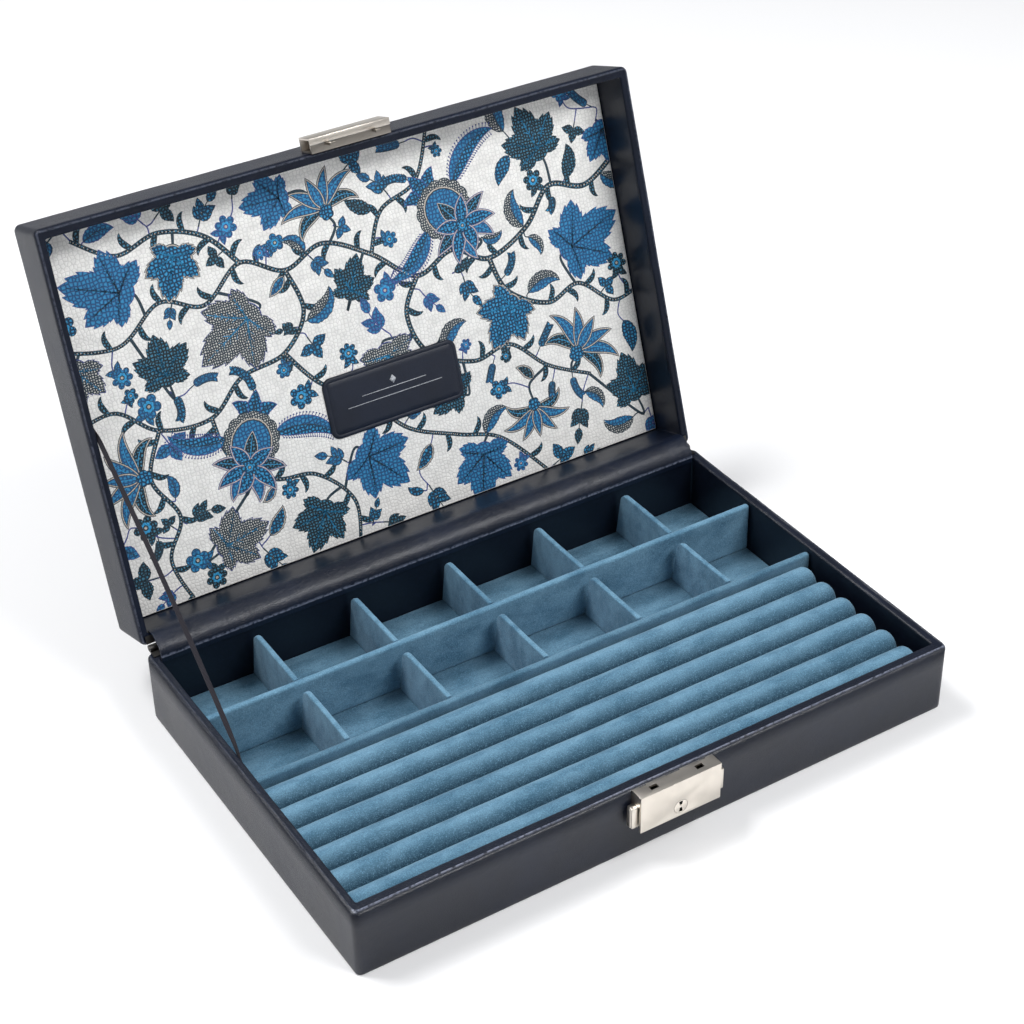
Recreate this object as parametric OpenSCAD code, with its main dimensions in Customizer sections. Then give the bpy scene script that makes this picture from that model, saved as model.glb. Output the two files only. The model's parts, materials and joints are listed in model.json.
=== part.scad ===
// Lockable leather jewelry case with a fitted velvet interior.
// Origin: centre of the underside of the base. +X right, +Y to the hinge, +Z up.
// The lid is drawn at its open stop, held there by the stay ribbon.

/* [Case] */
// Width of the case, side to side
case_w = 260; // [200:1:340]
// Depth of the case, front to back, without lock and hinge
case_d = 165; // [130:1:220]
// Height of the base, up to its rim
base_h = 30; // [25:0.5:50]
// Gap between the two rims when the case is shut
rim_gap = 2.5; // [2:0.1:4]
// How far the lid stands open, measured from shut
open_angle = 108.5; // [60:0.5:115]

/* [Walls] */
// Thickness of the leather cover
leather_t = 0.8; // [0.5:0.05:1.5]
// Thickness of the smooth lining on the inner walls
lining_t = 0.6; // [0.4:0.05:1.2]
// Side walls of base and lid, leather and lining included
side_wall = 3.7; // [3:0.1:8]
// Front wall of the base, leather and lining included
front_wall = 5; // [4:0.1:9]
// Back wall of the base, leather and lining included
back_wall = 4.4; // [4:0.1:9]
// Front and back walls of the lid, leather and lining included
lid_end_wall = 4.1; // [4:0.1:9]
// Radius of the upright outer corners
corner_r = 2.5; // [1.5:0.1:6]
// Radius of the rim where the leather folds inward
rim_r = 1.2; // [0.9:0.05:2]
// Radius of the top outer edge of the lid frame
lid_edge_r = 2.4; // [1.2:0.1:4]
// Width of leather turned in under the base and over the lid frame
turn_in = 9; // [5:0.5:20]

/* [Base floor] */
// Thickness of the cloth under the base
cover_t = 0.6; // [0.4:0.1:1.5]
// Thickness of the bottom board
bottom_board_t = 3; // [2:0.1:6]
// Thickness of the velvet-covered floor card
floor_pad_t = 1.9; // [1:0.1:4]

/* [Compartments] */
// Clear depth of the back row
back_row_d = 38.3; // [25:0.1:60]
// Clear depth of the front row
front_row_d = 37.2; // [25:0.1:60]
// Thickness of the long middle divider
mid_t = 3; // [2:0.1:5]
// Thickness of the rail between front row and ring rolls
rail_t = 3; // [2:0.1:5]
// Thickness of the short cross dividers
divider_t = 2.2; // [1.4:0.1:4]
// Clear width of the compartments at both ends
end_bay_w = 38; // [20:0.5:60]
// Middle divider top below the rim
mid_drop = 2.2; // [1:0.1:10]
// Rail top below the rim
rail_drop = 2.8; // [1:0.1:10]
// Cross divider tops below the rim
divider_drop = 2.6; // [1:0.1:10]
// Radius of the free top corner of a cross divider
divider_corner_r = 4; // [1:0.1:8]
// Forward lean of the free edge of a cross divider
divider_lean = 2; // [0:0.1:5]
// Clearance between the fitted interior and the walls
insert_fit = 0.1; // [0.05:0.05:0.5]

/* [Ring rolls] */
// Gap between the rolls' right ends and the side wall
roll_end_gap = 3.8; // [1:0.1:10]
// Gap between the rolls' left ends and the side wall
roll_left_gap = 0.9; // [0.5:0.1:10]
// Roll tops below the rim
roll_drop = 4; // [2:0.1:12]
// Space between neighbouring rolls
roll_gap = 0.1; // [0.05:0.05:1]
// Rounding at the roll ends
roll_end_r = 2.5; // [1:0.1:5]

/* [Lid inside] */
// Depth from the lid rim to the printed panel
lid_recess = 19; // [12:0.5:30]
// Thickness of the printed lining panel
lining_panel_t = 2.2; // [1.2:0.1:4]
// Thickness of the board that closes the lid frame
lid_board_t = 4; // [2:0.1:8]
// Width of the plain leather label
label_w = 62.4; // [20:0.2:120]
// Height of the plain leather label
label_d = 25.8; // [10:0.2:60]
// Thickness of the plain leather label
label_t = 0.9; // [0.5:0.1:2]
// Corner radius of the label
label_r = 4.2; // [1:0.1:10]
// Label centre, sideways
label_x = 5.4; // [-40:0.1:40]
// Label centre, toward the hinge
label_y = 22.3; // [-40:0.1:40]

/* [Lid top panel] */
// How far the padded top panel sits in from the lid edge
panel_inset = 2; // [1:0.1:8]
// Thickness of the panel at its edge
panel_edge_h = 3; // [2.4:0.1:6]
// Thickness of the card inside the panel
panel_board_t = 1.5; // [1:0.1:3]
// Rise of the padding above the panel edge
panel_crown = 4; // [1:0.1:10]
// Width of the sloping border of the padding
panel_slope = 26; // [8:1:50]

/* [Hinge] */
// Hinge end in from the side of the case
hinge_end = 2; // [1:0.5:30]
// Radius of the hinge knuckles
knuckle_r = 1.4; // [1:0.05:1.6]
// Radius of the hinge pin
pin_r = 0.6; // [0.4:0.05:0.9]
// Running clearance of the pin in the knuckles
pin_fit = 0.05; // [0.02:0.01:0.2]
// Thickness of the hinge leaves
leaf_t = 0.5; // [0.3:0.05:0.8]
// Hinge axis behind the back face of the case
axis_back = 1; // [0.8:0.1:3]
// Gap between neighbouring knuckles
knuckle_gap = 0.25; // [0.1:0.05:0.6]
// Shank radius of the small nails
nail_r = 0.4; // [0.3:0.05:0.6]
// Head radius of the small nails
nail_head_r = 0.9; // [0.7:0.05:1.2]
// Head height of the small nails
nail_head_h = 0.25; // [0.15:0.05:0.4]
// Length of the small nails
nail_len = 6; // [3:0.5:10]

/* [Flap and stay] */
// Thickness of the leather flap over the hinge
flap_t = 0.8; // [0.4:0.05:1.2]
// Flap end in from the inner side wall
flap_end_gap = 0.8; // [0.6:0.1:5]
// Flap lip turned down inside base and lid
flap_lip = 2.5; // [1.5:0.1:2.5]
// Outward bow of the flap between the rims
flap_bow = 1.6; // [0.5:0.1:3]
// Width of the stay ribbon
stay_w = 2.2; // [1.5:0.1:8]
// Thickness of the stay ribbon
stay_t = 0.5; // [0.2:0.05:1]
// Stay fixing on the base wall, distance behind the middle
stay_base_y = 7; // [-20:0.5:40]
// Stay fixing on the base wall, below the rim
stay_base_drop = 3; // [2.5:0.1:12]
// Stay fixing on the lid wall, distance from the middle
stay_lid_y = -6.5; // [-60:0.5:30]
// Stay fixing on the lid wall, depth from the rim
stay_lid_depth = 4; // [2.5:0.1:12]

/* [Lock] */
// Width of lock and striker
lock_w = 35.2; // [28:0.1:50]
// Height of the lock body
lock_h = 16.3; // [15.8:0.1:24]
// How far lock and striker stand out from the front
lock_d = 6; // [5.8:0.1:9]
// Sheet thickness of lock and striker
sheet_t = 0.9; // [0.6:0.05:1.1]
// Lock top below the base rim
lock_drop = 0.4; // [0.2:0.1:4]
// Key cylinder radius
cyl_r = 2.95; // [2:0.05:3.2]
// Key cylinder centre above the lock underside
cyl_up = 4.3; // [4.1:0.1:5]
// Push button front behind the lock front
button_in = 1.8; // [1.2:0.1:2.4]
// How far the push buttons stand out
button_out = 3.1; // [2:0.1:6]
// Height of the push buttons
button_h = 9.2; // [5:0.1:9.2]
// Push button travel
button_travel = 1.4; // [1:0.1:1.4]
// Spacing of the two striker hooks
hook_pitch = 20; // [18:0.1:24]
// Width of a hook tongue
hook_w = 2.6; // [2:0.1:3]
// Thickness of a hook tongue
hook_t = 1; // [0.6:0.1:1.2]
// Size of a hook slot across
slot_w = 3.3; // [3:0.1:4]
// Size of a hook slot front to back
slot_d = 2.1; // [1.8:0.1:2.6]
// Hook slot behind the lock front
slot_in = 2.1; // [1.6:0.1:2.6]
// Running clearance inside the lock
lock_fit = 0.2; // [0.1:0.05:0.4]

/* [Striker] */
// Height of the striker
striker_h = 9.5; // [7:0.1:14]
// Striker above the lock when shut
striker_gap = 0.4; // [0.3:0.1:1]

/* [Hidden] */
$fn = 48;
eps = 0.01;

base_board_z = cover_t + bottom_board_t;
floor_z = base_board_z + floor_pad_t;
in_x = case_w / 2 - side_wall;
in_front = -case_d / 2 + front_wall;
in_back = case_d / 2 - back_wall;
lid_in_y = case_d / 2 - lid_end_wall;
lid_z = base_h + rim_gap;
lid_h = lid_recess + lining_panel_t + lid_board_t + leather_t;
pivot_y = case_d / 2 + axis_back;
pivot_z = base_h + rim_gap / 2;

mid_back = in_back - back_row_d;
mid_front = mid_back - mid_t;
rail_back = mid_front - front_row_d;
rail_front = rail_back - rail_t;
mid_top = base_h - mid_drop;
rail_top = base_h - rail_drop;
divider_top = base_h - divider_drop;

divider_pitch = (2 * (in_x - end_bay_w) - divider_t) / 4;

roll_n = 6;
roll_len = 2 * in_x - roll_end_gap - roll_left_gap;
roll_pitch = (rail_front - in_front) / roll_n;
roll_r = (roll_pitch - roll_gap) / 2;
roll_z = base_h - roll_drop - roll_r;
bed_top = roll_z - roll_r;

hinge_len = case_w - 2 * hinge_end;
knuckle_n = 21;
knuckle_pitch = hinge_len / knuckle_n;
leaf_y0 = in_back + 0.6;
leaf_y1 = pivot_y - knuckle_r - 0.15;
nail_y = (leaf_y0 + leaf_y1) / 2;
nail_n = 8;

lock_top = base_h - lock_drop;
lock_z = lock_top - lock_h;
lock_y = -case_d / 2 - lock_d;
wall_y = -case_d / 2;
cyl_z = lock_z + cyl_up;
plate_y = wall_y - sheet_t + 0.1;
hook_y = lock_y + slot_in + slot_d / 2 + 0.15;
catch_y0 = lock_y + 2.3;
catch_y1 = wall_y - 2;
arm_z0 = cyl_z + 4.2;
arm_z1 = arm_z0 + 2;
barb = 0.8;
nose_x = hook_pitch / 2 - hook_w / 2 - lock_fit;
nose_w = 1.1;
nose_top = lock_top - sheet_t - 1.2;
button_z1 = arm_z1 + 0.6;
button_z0 = button_z1 - button_h;
button_y0 = lock_y + button_in;
button_y1 = wall_y - 1.1;
cam_r = 3.3;
lug_x = cam_r + lock_fit + button_travel + 0.1;
post_w = 3.2;
spring_z = arm_z1 + 2;
spring_y = (catch_y0 + catch_y1) / 2;
screw_x = 7.5;
screw_r = 0.8;
screw_head_r = 1.5;
screw_len = 4.2;

striker_z = lock_top + striker_gap;
hook_plate_y = lock_y + 2.8 + 0.1;
hook_bottom = nose_top - 2.1;
lid_screw_x = 5;

function turned(p) =
    let (a = -open_angle, y = p[0] - pivot_y, z = p[1] - pivot_z)
    [pivot_y + y * cos(a) - z * sin(a), pivot_z + y * sin(a) + z * cos(a)];

// Block with rounded upright corners and rounded top and bottom edges.
module soft_block(w, d, z0, z1, r, top_r, bot_r) {
    hull() for (sx = [-1, 1], sy = [-1, 1])
        translate([sx * (w / 2 - r), sy * (d / 2 - r), 0]) {
            translate([0, 0, z0 + bot_r]) cylinder(r = r, h = z1 - z0 - top_r - bot_r, $fn = 32);
            if (top_r > 0) translate([0, 0, z1 - top_r]) edge_ring(r, top_r);
            if (bot_r > 0) translate([0, 0, z0 + bot_r]) edge_ring(r, bot_r);
        }
}

module edge_ring(r, e) {
    rotate_extrude($fn = 32) intersection() {
        translate([max(r - e, 0), 0]) circle(r = min(e, r), $fn = 32);
        translate([0, -e]) square([r + e, 2 * e]);
    }
}

module slab(x0, x1, y0, y1, z0, z1) {
    translate([x0, y0, z0]) cube([x1 - x0, y1 - y0, z1 - z0]);
}

module ring_wall(x, y0, y1, t, z0, z1) {
    difference() {
        slab(-x - t, x + t, y0 - t, y1 + t, z0, z1);
        slab(-x, x, y0, y1, z0 - 1, z1 + 1);
    }
}

module as_open() {
    translate([0, pivot_y, pivot_z]) rotate([-open_angle, 0, 0])
        translate([0, -pivot_y, -pivot_z]) children();
}

module nail_row(r, z0, z1) {
    for (i = [0 : nail_n - 1])
        translate([-hinge_len / 2 + 16 + i * (hinge_len - 32) / (nail_n - 1), nail_y, z0])
            cylinder(r = r, h = z1 - z0);
}

// ---- base ----

module base_core() {
    soft_block(case_w - 2 * leather_t, case_d - 2 * leather_t, cover_t, base_h - leather_t,
        corner_r - leather_t, rim_r - leather_t, 0);
}

module base_leather() color("#232838") {
    difference() {
        soft_block(case_w, case_d, 0, base_h, corner_r, rim_r, 0.4);
        base_core();
        slab(-in_x - lining_t, in_x + lining_t, in_front - lining_t, in_back + lining_t,
            base_board_z, base_h + 1);
        slab(-case_w / 2 + turn_in, case_w / 2 - turn_in, -case_d / 2 + turn_in,
            case_d / 2 - turn_in, -1, cover_t + eps);
        nail_row(nail_r + 0.05, base_h - 2, base_h + 1);
        lock_screw_row(screw_r + 0.05);
    }
}

module base_underside_cover() color("#2b2d33")
    slab(-case_w / 2 + turn_in + 0.2, case_w / 2 - turn_in - 0.2,
        -case_d / 2 + turn_in + 0.2, case_d / 2 - turn_in - 0.2, 0, cover_t);

module base_bottom_board() color("#b58d62")
    intersection() {
        base_core();
        slab(-case_w, case_w, -case_d, case_d, cover_t, base_board_z);
    }

module base_board(x0, x1, y0, y1)
    intersection() {
        base_core();
        slab(x0, x1, y0, y1, base_board_z, base_h);
    }

module base_front_board() color("#b58d62") difference() {
    base_board(-case_w, case_w, -case_d, in_front - lining_t);
    lock_screw_row(screw_r);
}

module base_back_board() color("#b58d62") difference() {
    base_board(-case_w, case_w, in_back + lining_t, case_d);
    nail_row(nail_r, base_h - nail_len, base_h + 1);
}

module base_left_board() color("#b58d62")
    base_board(-case_w, -in_x - lining_t, in_front - lining_t, in_back + lining_t);

module base_right_board() color("#b58d62")
    base_board(in_x + lining_t, case_w, in_front - lining_t, in_back + lining_t);

module base_wall_lining() color("#0d1422")
    ring_wall(in_x, in_front, in_back, lining_t, base_board_z, base_h - 0.4);

module floor_pad() color("#5f8aa8")
    slab(-in_x + insert_fit, in_x - insert_fit, rail_front, in_back - insert_fit,
        base_board_z, floor_z);

module long_board(y0, y1, top) {
    t = y1 - y0;
    r = 0.45 * t;
    hull() {
        slab(-in_x + insert_fit, in_x - insert_fit, y0, y1, floor_z, top - r);
        for (y = [y0 + r, y1 - r]) translate([0, y, top - r]) rotate([0, 90, 0])
            cylinder(r = r, h = 2 * (in_x - insert_fit), center = true, $fn = 24);
    }
}

module mid_divider() color("#6b96b4") long_board(mid_front, mid_back, mid_top);
module front_rail() color("#6b96b4") long_board(rail_front, rail_back, rail_top);

// Cross divider: upright card with one free, rounded and slightly leaning edge.
module cross_divider(n, y0, y1) {
    top = divider_top;
    r = divider_corner_r;
    ye = y1 - divider_lean;
    arc = [for (a = [10 : 10 : 90]) [ye - r + r * cos(a), top - r + r * sin(a)]];
    translate([(n - 3) * divider_pitch - divider_t / 2, 0, 0])
        rotate([90, 0, 90]) linear_extrude(height = divider_t)
            polygon(concat([[y0, floor_z], [y1, floor_z]], arc, [[y0, top]]));
}

module back_divider(n) color("#5a86a5") cross_divider(n, mid_back, in_back - insert_fit);
module front_divider(n) color("#5a86a5") cross_divider(n, rail_back, mid_front);

module ring_bed() color("#3a4250")
    slab(-in_x + insert_fit, in_x - insert_fit, in_front + insert_fit, rail_front,
        base_board_z, bed_top);

// Ring roll: foam rod under velvet, with softly rounded ends.
module ring_roll(n) color("#7199b8")
    translate([roll_left_gap - in_x, rail_front - (n - 0.5) * roll_pitch, roll_z]) rotate([0, 90, 0])
        rotate_extrude() difference() {
            square([roll_r, roll_len]);
            for (m = [0, 1]) translate([0, m * roll_len]) mirror([0, m])
                translate([roll_r - roll_end_r, 0]) difference() {
                    translate([0, -1]) square([roll_end_r + 1, roll_end_r + 1]);
                    translate([0, roll_end_r]) circle(r = roll_end_r);
                }
        }

// ---- lid, drawn shut and then turned open ----

module lid_core() {
    soft_block(case_w - 2 * leather_t, case_d - 2 * leather_t, lid_z + leather_t,
        lid_z + lid_h - leather_t, corner_r - leather_t,
        min(lid_edge_r, corner_r) - leather_t, rim_r - leather_t);
}

module lid_leather() color("#232838") as_open() {
    difference() {
        soft_block(case_w, case_d, lid_z, lid_z + lid_h, corner_r,
            min(lid_edge_r, corner_r), rim_r);
        lid_core();
        slab(-in_x - lining_t, in_x + lining_t, -lid_in_y - lining_t, lid_in_y + lining_t,
            lid_z - 1, lid_z + lid_recess);
        slab(-case_w / 2 + turn_in, case_w / 2 - turn_in, -case_d / 2 + turn_in,
            case_d / 2 - turn_in, lid_z + lid_h - leather_t - eps, lid_z + lid_h + 1);
        nail_row(nail_r + 0.05, lid_z - 1, lid_z + 2);
        lid_screw_row(screw_r + 0.05);
    }
}

module lid_board(x0, x1, y0, y1)
    intersection() {
        lid_core();
        slab(x0, x1, y0, y1, lid_z, lid_z + lid_h);
    }

module lid_front_board() color("#b58d62") as_open() difference() {
    lid_board(-case_w, case_w, -case_d, -lid_in_y - lining_t);
    lid_screw_row(screw_r);
}

module lid_back_board() color("#b58d62") as_open() difference() {
    lid_board(-case_w, case_w, lid_in_y + lining_t, case_d);
    nail_row(nail_r, lid_z - 1, lid_z + nail_len);
}

module lid_left_board() color("#b58d62") as_open()
    lid_board(-case_w, -in_x - lining_t, -lid_in_y - lining_t, lid_in_y + lining_t);

module lid_right_board() color("#b58d62") as_open()
    lid_board(in_x + lining_t, case_w, -lid_in_y - lining_t, lid_in_y + lining_t);

module lid_top_board() color("#b58d62") as_open()
    slab(-in_x - lining_t, in_x + lining_t, -lid_in_y - lining_t, lid_in_y + lining_t,
        lid_z + lid_recess + lining_panel_t, lid_z + lid_h - leather_t);

module lid_wall_lining() color("#10182a") as_open()
    ring_wall(in_x, -lid_in_y, lid_in_y, lining_t, lid_z + 0.4, lid_z + lid_recess);

module lid_lining_panel() color("#e6e4de") as_open()
    slab(-in_x - lining_t + insert_fit, in_x + lining_t - insert_fit,
        -lid_in_y - lining_t + insert_fit, lid_in_y + lining_t - insert_fit,
        lid_z + lid_recess, lid_z + lid_recess + lining_panel_t);

module label_patch() color("#232a3b") as_open()
    translate([label_x, label_y, lid_z + lid_recess - label_t]) hull()
        for (sx = [-1, 1], sy = [-1, 1])
            translate([sx * (label_w / 2 - label_r), sy * (label_d / 2 - label_r), 0])
                cylinder(r = label_r, h = label_t);

module panel_layer(inset, z0, z1)
    translate([0, 0, lid_z + lid_h]) hull()
        for (sx = [-1, 1], sy = [-1, 1])
            translate([sx * (case_w / 2 - panel_inset - inset - corner_r),
                sy * (case_d / 2 - panel_inset - inset - corner_r), z0])
                cylinder(r = corner_r, h = z1 - z0, $fn = 32);

module panel_dome(inset, z0, z1, z2) hull() {
    panel_layer(inset, z0, z1);
    panel_layer(inset + panel_slope, z1, z2);
}

module lid_panel_board() color("#a98a66") as_open()
    panel_layer(leather_t, 0, panel_board_t);

module lid_panel_foam() color("#d8d4c4") as_open()
    panel_dome(leather_t, panel_board_t, panel_edge_h - leather_t,
        panel_edge_h + panel_crown - leather_t);

module lid_panel_leather() color("#262b3a") as_open() difference() {
    panel_dome(0, 0, panel_edge_h, panel_edge_h + panel_crown);
    panel_layer(leather_t, -1, panel_board_t);
    panel_dome(leather_t, panel_board_t - eps, panel_edge_h - leather_t,
        panel_edge_h + panel_crown - leather_t);
}

// ---- hinge ----

module knuckles(first, leaf_z0) {
    for (k = [first : 2 : knuckle_n - 1])
        translate([-hinge_len / 2 + k * knuckle_pitch + knuckle_gap / 2, 0, 0]) difference() {
            union() {
                translate([0, pivot_y, pivot_z]) rotate([0, 90, 0])
                    cylinder(r = knuckle_r, h = knuckle_pitch - knuckle_gap);
                translate([0, leaf_y1 - 0.1, leaf_z0])
                    cube([knuckle_pitch - knuckle_gap, pivot_y - leaf_y1 + 0.1, leaf_t]);
            }
            translate([-1, pivot_y, pivot_z]) rotate([0, 90, 0])
                cylinder(r = pin_r + pin_fit, h = knuckle_pitch + 2);
        }
}

module hinge_leaf_base() color("#c9c4ba") difference() {
    union() {
        slab(-hinge_len / 2, hinge_len / 2, leaf_y0, leaf_y1, base_h, base_h + leaf_t);
        knuckles(0, base_h);
    }
    nail_row(nail_r + 0.05, base_h - 1, base_h + 2);
}

module hinge_leaf_lid() color("#c9c4ba") as_open() difference() {
    union() {
        slab(-hinge_len / 2, hinge_len / 2, leaf_y0, leaf_y1, lid_z - leaf_t, lid_z);
        knuckles(1, lid_z - leaf_t);
    }
    nail_row(nail_r + 0.05, lid_z - 2, lid_z + 1);
}

module hinge_pin() color("#b9b4aa")
    translate([0, pivot_y, pivot_z]) rotate([0, 90, 0])
        cylinder(r = pin_r, h = hinge_len, center = true);

module hinge_nails_base() color("#d0cbc0") {
    nail_row(nail_r, base_h - nail_len, base_h + leaf_t + nail_head_h);
    nail_row(nail_head_r, base_h + leaf_t, base_h + leaf_t + nail_head_h);
}

module hinge_nails_lid() color("#d0cbc0") as_open() {
    nail_row(nail_r, lid_z - leaf_t - nail_head_h, lid_z + nail_len);
    nail_row(nail_head_r, lid_z - leaf_t - nail_head_h, lid_z - leaf_t);
}

// Leather flap over the hinge: lips inside base and lid, bowed between the rims.
module hinge_flap() color("#2a3040") {
    h = flap_t / 2;
    a = [in_back - h, base_h + 0.5];
    b = turned([lid_in_y - h, lid_z - 0.5]);
    d = b - a;
    n = [-d[1], d[0]] / norm(d);
    path = [for (i = [0 : 10]) let (t = i / 10) a + d * t + n * (flap_bow * 4 * t * (1 - t))];
    base_in = [in_back - flap_t, base_h - flap_lip];
    base_out = [in_back, base_h - flap_lip];
    lid_in = turned([lid_in_y - flap_t, lid_z + flap_lip]);
    lid_out = turned([lid_in_y, lid_z + flap_lip]);
    corner_base = [in_back, base_h + 0.3];
    corner_lid = turned([lid_in_y, lid_z - 0.3]);
    x = in_x - flap_end_gap;
    translate([-x, 0, 0]) rotate([90, 0, 90]) linear_extrude(height = 2 * x)
        polygon(concat([base_out, base_in, [in_back - flap_t, a[1]]],
            [for (i = [1 : 9]) path[i] + n * h],
            [turned([lid_in_y - flap_t, lid_z - 0.5]), lid_in, lid_out, corner_lid],
            [for (i = [8 : -1 : 2]) path[i] - n * h],
            [corner_base]));
}

// Flat ribbon that stops the lid, fixed to the left walls of base and lid.
module stay_ribbon() color("#3b3a44") {
    a = [stay_base_y, base_h - stay_base_drop];
    b = turned([stay_lid_y, lid_z + stay_lid_depth]);
    d = b - a;
    translate([-in_x, a[0], a[1]]) rotate([atan2(d[1], d[0]), 0, 0])
        translate([0, 0, -stay_w / 2]) cube([stay_t, norm(d), stay_w]);
}

// ---- lock ----

module lock_screw_row(r)
    for (s = [-1, 1]) translate([s * screw_x, plate_y, cyl_z]) rotate([-90, 0, 0])
        cylinder(r = r, h = screw_len);

module lid_screw_row(r)
    for (s = [-1, 1]) translate([s * lid_screw_x, plate_y, striker_z + striker_h / 2 + 0.6])
        rotate([-90, 0, 0]) cylinder(r = r, h = screw_len);

module lock_case() color("#cfc8bd") difference() {
    slab(-lock_w / 2, lock_w / 2, lock_y, wall_y, lock_z, lock_top);
    slab(-lock_w / 2 + sheet_t, lock_w / 2 - sheet_t, lock_y + sheet_t, wall_y + 1,
        lock_z + sheet_t, lock_top - sheet_t);
    for (s = [-1, 1]) {
        // side openings for the push buttons
        slab(s * lock_w / 2 - 2, s * lock_w / 2 + 2, lock_y + sheet_t, button_y1 + lock_fit,
            lock_z - 1, button_z1 + lock_fit);
        // slots for the striker hooks
        slab(s * hook_pitch / 2 - slot_w / 2, s * hook_pitch / 2 + slot_w / 2,
            lock_y + slot_in, lock_y + slot_in + slot_d, lock_top - 2, lock_top + 1);
        // notches along the back edge of the top
        slab(s * 13 - 1.4, s * 13 + 1.4, wall_y - 0.5, wall_y + 1, lock_top - 2, lock_top + 1);
    }
    slab(-3.1, 3.1, wall_y - 0.5, wall_y + 1, lock_top - 2, lock_top + 1);
    // opening under the cam
    slab(-4.5, 4.5, lock_y + sheet_t + 0.5, wall_y + 1, lock_z - 1, lock_z + 2);
    translate([0, lock_y - 1, cyl_z]) rotate([-90, 0, 0]) cylinder(r = cyl_r + 0.08, h = 4);
}

module lock_back_plate() color("#b8b2a6") difference() {
    union() {
        slab(-lock_w / 2 + sheet_t + 0.1, lock_w / 2 - sheet_t - 0.1, plate_y, wall_y,
            lock_z + sheet_t + 0.1, lock_top - sheet_t - 0.1);
        slab(-post_w / 2, post_w / 2, catch_y0, plate_y + eps, arm_z1 + 0.3, nose_top);
    }
    lock_screw_row(screw_r + 0.05);
}

module lock_screws() color("#a9a498") for (s = [-1, 1]) difference() {
    translate([s * screw_x, plate_y, cyl_z]) rotate([-90, 0, 0]) {
        cylinder(r = screw_r, h = screw_len);
        translate([0, 0, -0.6]) cylinder(r = screw_head_r, h = 0.6);
    }
    translate([s * screw_x - 2, plate_y - 1, cyl_z - 0.2]) cube([4, 0.7, 0.4]);
}

// Push button with its catch slide: arm, upright nose whose tooth holds the hook, lug by the cam.
module lock_button(s) color("#c6bfb3") mirror([s < 0 ? 1 : 0, 0, 0]) {
    x1 = lock_w / 2 + button_out;
    slab(lock_w / 2 - 2, x1 - 0.5, button_y0, button_y1, button_z0, button_z1);
    slab(x1 - 0.5 - eps, x1, button_y0 + 0.5, button_y1 - 0.5, button_z0 + 0.5, button_z1 - 0.5);
    slab(lug_x, lock_w / 2 - 1, catch_y0, catch_y1, arm_z0, arm_z1);
    slab(nose_x - nose_w, nose_x, catch_y0, catch_y1, arm_z1 - eps, nose_top);
    slab(nose_x - eps, nose_x + barb, catch_y0, catch_y1, nose_top - 1, nose_top);
    slab(lug_x, lug_x + 1, catch_y0, catch_y1, cyl_z + 0.6, arm_z0 + eps);
}

// Small coil spring between the fixed post and the catch nose.
module lock_spring(s) color("#9d988d") mirror([s < 0 ? 1 : 0, 0, 0]) {
    x0 = post_w / 2;
    x1 = nose_x - nose_w;
    wire = 0.16;
    coil = 0.75;
    n = 5;
    for (i = [0 : n - 1])
        translate([x0 + wire + i * (x1 - x0 - 2 * wire) / (n - 1), spring_y, spring_z])
            rotate([0, 90, 0]) rotate_extrude() translate([coil, 0]) circle(r = wire);
    translate([x0 + wire, spring_y, spring_z + coil]) rotate([0, 90, 0])
        cylinder(r = 0.1, h = x1 - x0 - 2 * wire);
}

// Key cylinder with a two-part key slot, a hub and a double cam.
module lock_cylinder() color("#d6cfc4") difference() {
    union() {
        translate([0, lock_y, cyl_z]) rotate([-90, 0, 0]) cylinder(r = cyl_r, h = 2);
        translate([0, lock_y, cyl_z]) rotate([-90, 0, 0]) cylinder(r = 1.9, h = lock_d - 1.1);
        slab(-1.2, 1.2, catch_y0 + 0.3, catch_y1 - 0.3, cyl_z - cam_r, cyl_z + cam_r);
    }
    for (a = [0, 180]) translate([0, lock_y + 1.6, cyl_z]) rotate([0, a, 0]) rotate([90, 0, 0])
        linear_extrude(3) polygon([[-0.4, 0.5], [0.4, 0.5], [0.9, 2.4], [-0.9, 2.4]]);
}

// ---- striker on the lid ----

module striker_channel() color("#cfc8bd") as_open() {
    z1 = striker_z + striker_h;
    slab(-lock_w / 2, lock_w / 2, lock_y, lock_y + sheet_t, striker_z, z1);
    slab(-lock_w / 2, lock_w / 2, lock_y + sheet_t - eps, wall_y, z1 - sheet_t, z1);
    slab(-lock_w / 2, lock_w / 2, lock_y + sheet_t - eps, hook_plate_y - 0.1, striker_z,
        striker_z + sheet_t - 0.1);
}

module striker_hook_plate() color("#c2bbaf") as_open() {
    z0 = striker_z + 0.3;
    x = lock_w / 2 - 0.2;
    difference() {
        union() {
            slab(-x, x, hook_plate_y, wall_y, z0, z0 + sheet_t - 0.1);
            slab(-x, x, plate_y, wall_y, z0, striker_z + striker_h - sheet_t - 0.1);
        }
        lid_screw_row(screw_r + 0.05);
    }
    for (s = [-1, 1]) translate([s * hook_pitch / 2, 0, 0]) mirror([s < 0 ? 1 : 0, 0, 0]) {
        slab(-hook_w / 2 + barb, hook_w / 2, hook_y - hook_t / 2, hook_y + hook_t / 2,
            hook_bottom, z0 + eps);
        slab(-hook_w / 2, -hook_w / 2 + barb + eps, hook_y - hook_t / 2, hook_y + hook_t / 2,
            hook_bottom, nose_top - 1 - lock_fit);
    }
}

module striker_screws() color("#a9a498") as_open() for (s = [-1, 1]) difference() {
    translate([s * lid_screw_x, plate_y, striker_z + striker_h / 2 + 0.6]) rotate([-90, 0, 0]) {
        cylinder(r = screw_r, h = screw_len);
        translate([0, 0, -0.6]) cylinder(r = screw_head_r, h = 0.6);
    }
    translate([s * lid_screw_x - 2, plate_y - 1, striker_z + striker_h / 2 + 0.4])
        cube([4, 0.7, 0.4]);
}

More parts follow.
